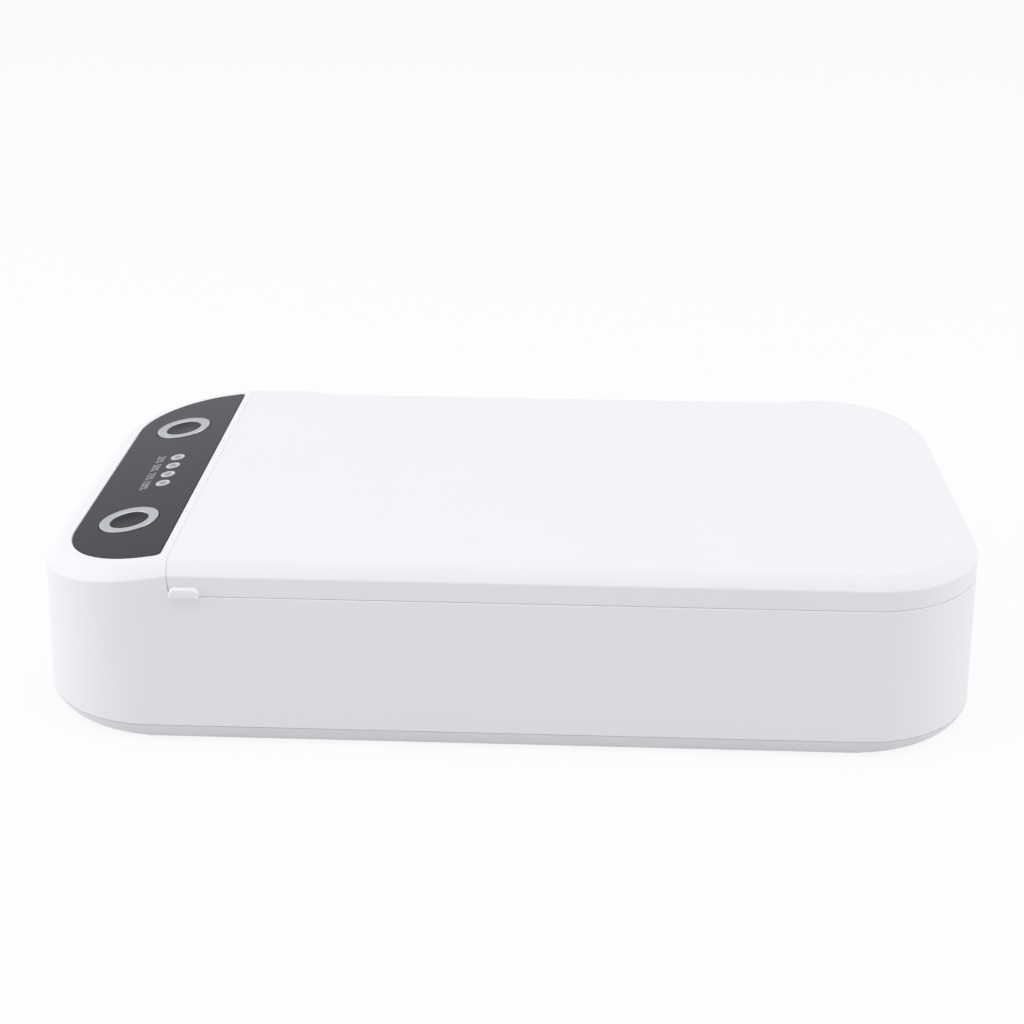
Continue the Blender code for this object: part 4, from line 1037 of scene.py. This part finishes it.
class SANITIZER_OT_buttons(bpy.types.Operator):
    """Build both push buttons: a silver key round a dark inlay"""

    bl_idname = "sanitizer.buttons"
    bl_label = "Buttons"

    def execute(self, context):
        silver = plated_metal("satin silver key", tuple(colours().silver), 0.36)
        gloss = moulded_plastic("black inlay gloss", shade(tuple(colours().black), 1.1), 0.1, 0.003, 0.055)
        for name, side in (("front", -1), ("rear", 1)):
            place = head_frame() @ Matrix.Translation((panel_middle(), side * panel().spacing / 2, 0))
            body = f"{name}_button"
            turned_piece(f"{body}_ring", self.ring(), 72, place, body, "silver_satin", silver, f"{body}_key")
            turned_piece(f"{body}_disc", self.inlay(), 56, place, body, "black_gloss", gloss, f"{body}_inlay")
        return {"FINISHED"}

    def ring(self):
        """The key's section: stem, flange, side, flat rim and a soft fall towards the inlay."""
        r, under, stem = panel().button, -panel().thickness - CLEARANCE, deepest("front_button_key")
        stalk, flange, foot = 0.002, r + 0.001, under - 0.0008
        section = [(0, stem), (stalk, stem), (stalk, foot), (flange, foot), (flange, under), (r, under)]
        for inset, fall in ((0, 0.0003), (0.00009, 0.00009), (0.0003, 0), (0.00055, 0), (0.0007, 0.00006)):
            section.append((r - inset, KEY_RISE - fall))
        for room, fall in ((0.0009, 0.00006), (0.0004, 0.0001), (0.0002, 0.00018), (0.0001, 0.0003), (0.0001, 0.0009)):
            section.append((panel().inlay + room, KEY_RISE - fall))
        return section + [(0, section[-1][1])]

    def inlay(self):
        """The inlay's section: a thin disc, a hair below the key's rim."""
        r, high, low, edge = panel().inlay, KEY_RISE - INLAY_DROP, KEY_RISE - 0.0008, 0.00008
        side = [(0, low), (r, low), (r, high - edge), (r - edge, high)]
        return side + [(r * 0.5, high - 0.0001), (0, high - 0.00013)]


class SANITIZER_OT_lights(bpy.types.Operator):
    """Build the four level lights"""

    bl_idname = "sanitizer.lights"
    bl_label = "Level lights"

    def execute(self, context):
        milky = grained("milky lens", tuple(colours().lens), (900,), (0.94, 1), (0.25, 0.06))
        core = Finish("lens core")
        core.set(Base_Color=core.mix(core.noise(1500), (0.2, 0.2, 0.22), (0.26, 0.26, 0.29)), Roughness=0.3)
        dot = [(0, 0.00004), (0.0009, 0.00004), (0.0009, 0.00008), (0.0005, 0.0001), (0, 0.00011)]
        for number, y in enumerate(lens_places(), 1):
            place = head_frame() @ Matrix.Translation((panel_middle() + panel().lens_offset, y, 0))
            node = f"led_lens_{number}"
            lens = self.section(deepest(node))
            turned_piece(f"level_light_{number}", lens, 40, place, "base", "lens_white", milky, node)
            turned_piece(f"level_core_{number}", dot, 28, place, "base", "lens_white", core.material)
        return {"FINISHED"}

    def section(self, low):
        """A light guide with a shallow dish in its top."""
        r, rim, dish = panel().lens, 0.0001, 0.00005
        side = [(0, low), (r, low), (r, 0.00002), (r - 0.0001, rim)]
        return side + [(r - 0.0004, rim), (r - 0.0007, 0.00006), (0.0008, dish), (0, dish)]


# inside
class SANITIZER_OT_chamber(bpy.types.Operator):
    """Build the bright chamber liner, the lamp in its floor and the scent pad"""

    bl_idname = "sanitizer.chamber"
    bl_label = "Chamber"

    def execute(self, context):
        bright = mirror_coat("bright liner coat", (0.78, 0.79, 0.81))
        fine_copy("chamber_liner_moulding", "chamber_liner", "base", "mirror_liner", bright, 0.0002)
        clear = quartz("clear quartz plate", (0.9, 0.94, 0.96))
        fine_copy("lamp_window_plate", "lamp_window", "base", "clear_window", clear, 0.0002)
        holder = moulded_plastic("lamp holder plastic", (0.78, 0.78, 0.8), 0.45)
        for side in ("near", "far"):
            fine_copy(f"{side}_lamp_holder_block", f"{side}_lamp_holder", "base", "white_satin", holder, 0.00025)
        pad = felt("grey scent felt", (0.55, 0.52, 0.48))
        fine_copy("aroma_pad_felt", "aroma_pad", "base", "felt_grey", pad, 0.0004)
        self.tube()
        return {"FINISHED"}

    def tube(self):
        """The quartz tube, drawn in at both ends."""
        low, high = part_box("lamp_tube")
        radius = (high.z - low.z) / 2
        length = high.x - low.x
        neck = [(0, 0), (radius * 0.35, 0), (radius * 0.8, 0.0008), (radius, 0.0024)]
        profile = neck + [(r, length - z) for r, z in reversed(neck)]
        place = Matrix.Translation((low.x, (low.y + high.y) / 2, (low.z + high.z) / 2)) @ ALONG_X
        glass = quartz("quartz lamp tube", (0.84, 0.88, 0.94), 0.25)
        turned_piece("quartz_tube", profile, 32, place, "base", "lamp_glass", glass, "lamp_tube")


class SANITIZER_OT_lid_inside(bpy.types.Operator):
    """Build the bright plate inside the lid with its screws"""

    bl_idname = "sanitizer.lid_inside"
    bl_label = "Lid liner"

    def execute(self, context):
        bright = mirror_coat("bright lid coat", (0.78, 0.79, 0.81))
        fine_copy("lid_liner_plate", "lid_liner", "lid", "mirror_liner", bright, 0.0002)
        steel = plated_metal("small steel screw", (0.52, 0.52, 0.53), 0.32)
        for i in range(1, 5):
            turned_screw(f"lid_screw_{i}", 0.002, 0.0012, 0.0008, steel, "lid")
        return {"FINISHED"}


class SANITIZER_OT_hidden(bpy.types.Operator):
    """Finish the boards, leads, pins and other carried pieces"""

    bl_idname = "sanitizer.hidden"
    bl_label = "Hidden pieces"

    def execute(self, context):
        finishes = {
            "screw_steel": plated_metal("bright steel", (0.52, 0.52, 0.54), 0.3),
            "board_green": circuit_board("green solder mask", (0.012, 0.1, 0.04)),
            "chip_black": moulded_plastic("black component", (0.018, 0.018, 0.02), 0.5),
            "copper_tape": plated_metal("copper foil", (0.72, 0.38, 0.2), 0.34),
            "lead_white": moulded_plastic("white insulation", (0.7, 0.7, 0.7), 0.55),
            "lens_white": moulded_plastic("diode body", (0.75, 0.75, 0.72), 0.4),
            "lamp_glass": moulded_plastic("reed glass", (0.45, 0.55, 0.5), 0.1),
            "magnet_nickel": plated_metal("nickel", (0.6, 0.58, 0.54), 0.25),
        }
        slots = {row["node"]: row["material_slot"] for row in frame["record"]["subparts"]}
        for name, node in frame["nodes"].items():
            if not node.hide_render:
                coat(node.data, finishes[slots[name]])
        return {"FINISHED"}


# studio
class SANITIZER_OT_studio(bpy.types.Operator):
    """Set up the pale floor, the lights and the camera"""

    bl_idname = "sanitizer.studio"
    bl_label = "Studio"

    def execute(self, context):
        context.scene.view_settings.view_transform = "Standard"
        self.sky(context)
        self.floor()
        self.camera()
        for lamp in (
            ("softbox_above", (0.0, -0.1, 1.3), (0, 0, 0), 1.5, 1.2, 7.2),
            ("softbox_left", (-1.1, -0.18, 0.5), (0, 0, 0.02), 0.9, 0.9, 5.8),
            ("softbox_right", (1.1, -0.18, 0.5), (0, 0, 0.02), 0.9, 0.9, 4.45),
        ):
            self.lamp(*lamp)
        return {"FINISHED"}

    def sky(self, context):
        """A white backdrop for the camera and for gloss, and a plainer light on the object."""
        context.scene.world = bpy.data.worlds.new("studio sky")
        sky = Finish("studio sky", context.scene.world, "Background")
        sky.set(Strength=studio().ambient + sky.seen() * (1 - studio().ambient), Color=(1, 1, 1))

    def floor(self):
        """A pale floor that stays white for the camera but keeps the shadow."""
        shape = bmesh.new()
        bmesh.ops.create_grid(
            shape, x_segments=1, y_segments=1, size=FLOOR_REACH, matrix=Matrix.Translation((0, 0, -FLOOR_DROP))
        )
        sheet = bare_object("studio_floor", shape)
        paper = Finish("pale paper")
        paper.set(Base_Color=(0.82, 0.82, 0.83), Roughness=0.9, Specular_IOR_Level=0.0)
        glow = paper.node("ShaderNodeEmission", values={"Color": (1, 1, 1), "Strength": 1.0})
        lit = Signal(paper, paper.shader.outputs[0])
        mix = paper.node("ShaderNodeMixShader", values={0: paper.seen() * studio().glow, 1: lit, 2: glow})
        paper.put(paper.tree.nodes["Material Output"].inputs["Surface"], mix)
        coat(sheet.data, paper.material)

    def lamp(self, name, place, aim, width, height, power):
        """One soft rectangular light aimed at a point."""
        light = bpy.data.lights.new(name, "AREA")
        light.shape = "RECTANGLE"
        light.size, light.size_y, light.energy = width, height, power
        made = linked(name, light)
        made.location = place
        made.rotation_euler = (Vector(aim) - Vector(place)).to_track_quat("-Z", "Y").to_euler()

    def camera(self):
        """The camera at the photograph's angle."""
        view = studio()
        data = bpy.data.cameras.new("photo_camera")
        data.sensor_width = 36
        data.lens, data.shift_y, data.clip_start = view.lens, view.shift, 0.01
        place = Matrix.Translation(Vector(view.eye))
        for angle, axis in ((-view.yaw, "Z"), (math.pi / 2 - view.pitch, "X"), (view.roll, "Z")):
            place = place @ Matrix.Rotation(angle, 4, axis)
        made = linked("photo_camera", data)
        made.matrix_world = place
        bpy.context.scene.camera = made


class SANITIZER_PT_panel(bpy.types.Panel):
    """Buttons that build the box piece by piece"""

    bl_label = "Sanitizer box"
    bl_idname = "SANITIZER_PT_panel"
    bl_space_type = "VIEW_3D"
    bl_region_type = "UI"
    bl_category = "Sanitizer"

    def draw(self, context):
        for operator in OPERATORS:
            self.layout.operator(operator.bl_idname)


OPERATORS = (
    SANITIZER_OT_studio,
    SANITIZER_OT_base,
    SANITIZER_OT_cover,
    SANITIZER_OT_lid,
    SANITIZER_OT_panel,
    SANITIZER_OT_buttons,
    SANITIZER_OT_lights,
    SANITIZER_OT_chamber,
    SANITIZER_OT_lid_inside,
    SANITIZER_OT_hidden,
)
GROUPS = {
    "sanitizer_case": CaseSizes,
    "sanitizer_panel": PanelSizes,
    "sanitizer_colours": FinishColours,
    "sanitizer_studio": StudioSettings,
}


def register():
    for name, group in GROUPS.items():
        bpy.utils.register_class(group)
        setattr(bpy.types.Scene, name, bpy.props.PointerProperty(type=group))
    for operator in (*OPERATORS, SANITIZER_PT_panel):
        bpy.utils.register_class(operator)


def unregister():
    for operator in (*OPERATORS, SANITIZER_PT_panel):
        bpy.utils.unregister_class(operator)
    for name, group in GROUPS.items():
        delattr(bpy.types.Scene, name)
        bpy.utils.unregister_class(group)


def main():
    register()
    bpy.ops.sanitizer.studio()
    bpy.ops.sanitizer.base()
    bpy.ops.sanitizer.cover()
    bpy.ops.sanitizer.lid()
    bpy.ops.sanitizer.panel()
    bpy.ops.sanitizer.buttons()
    bpy.ops.sanitizer.lights()
    bpy.ops.sanitizer.chamber()
    bpy.ops.sanitizer.lid_inside()
    bpy.ops.sanitizer.hidden()


if __name__ == "__main__":
    main()
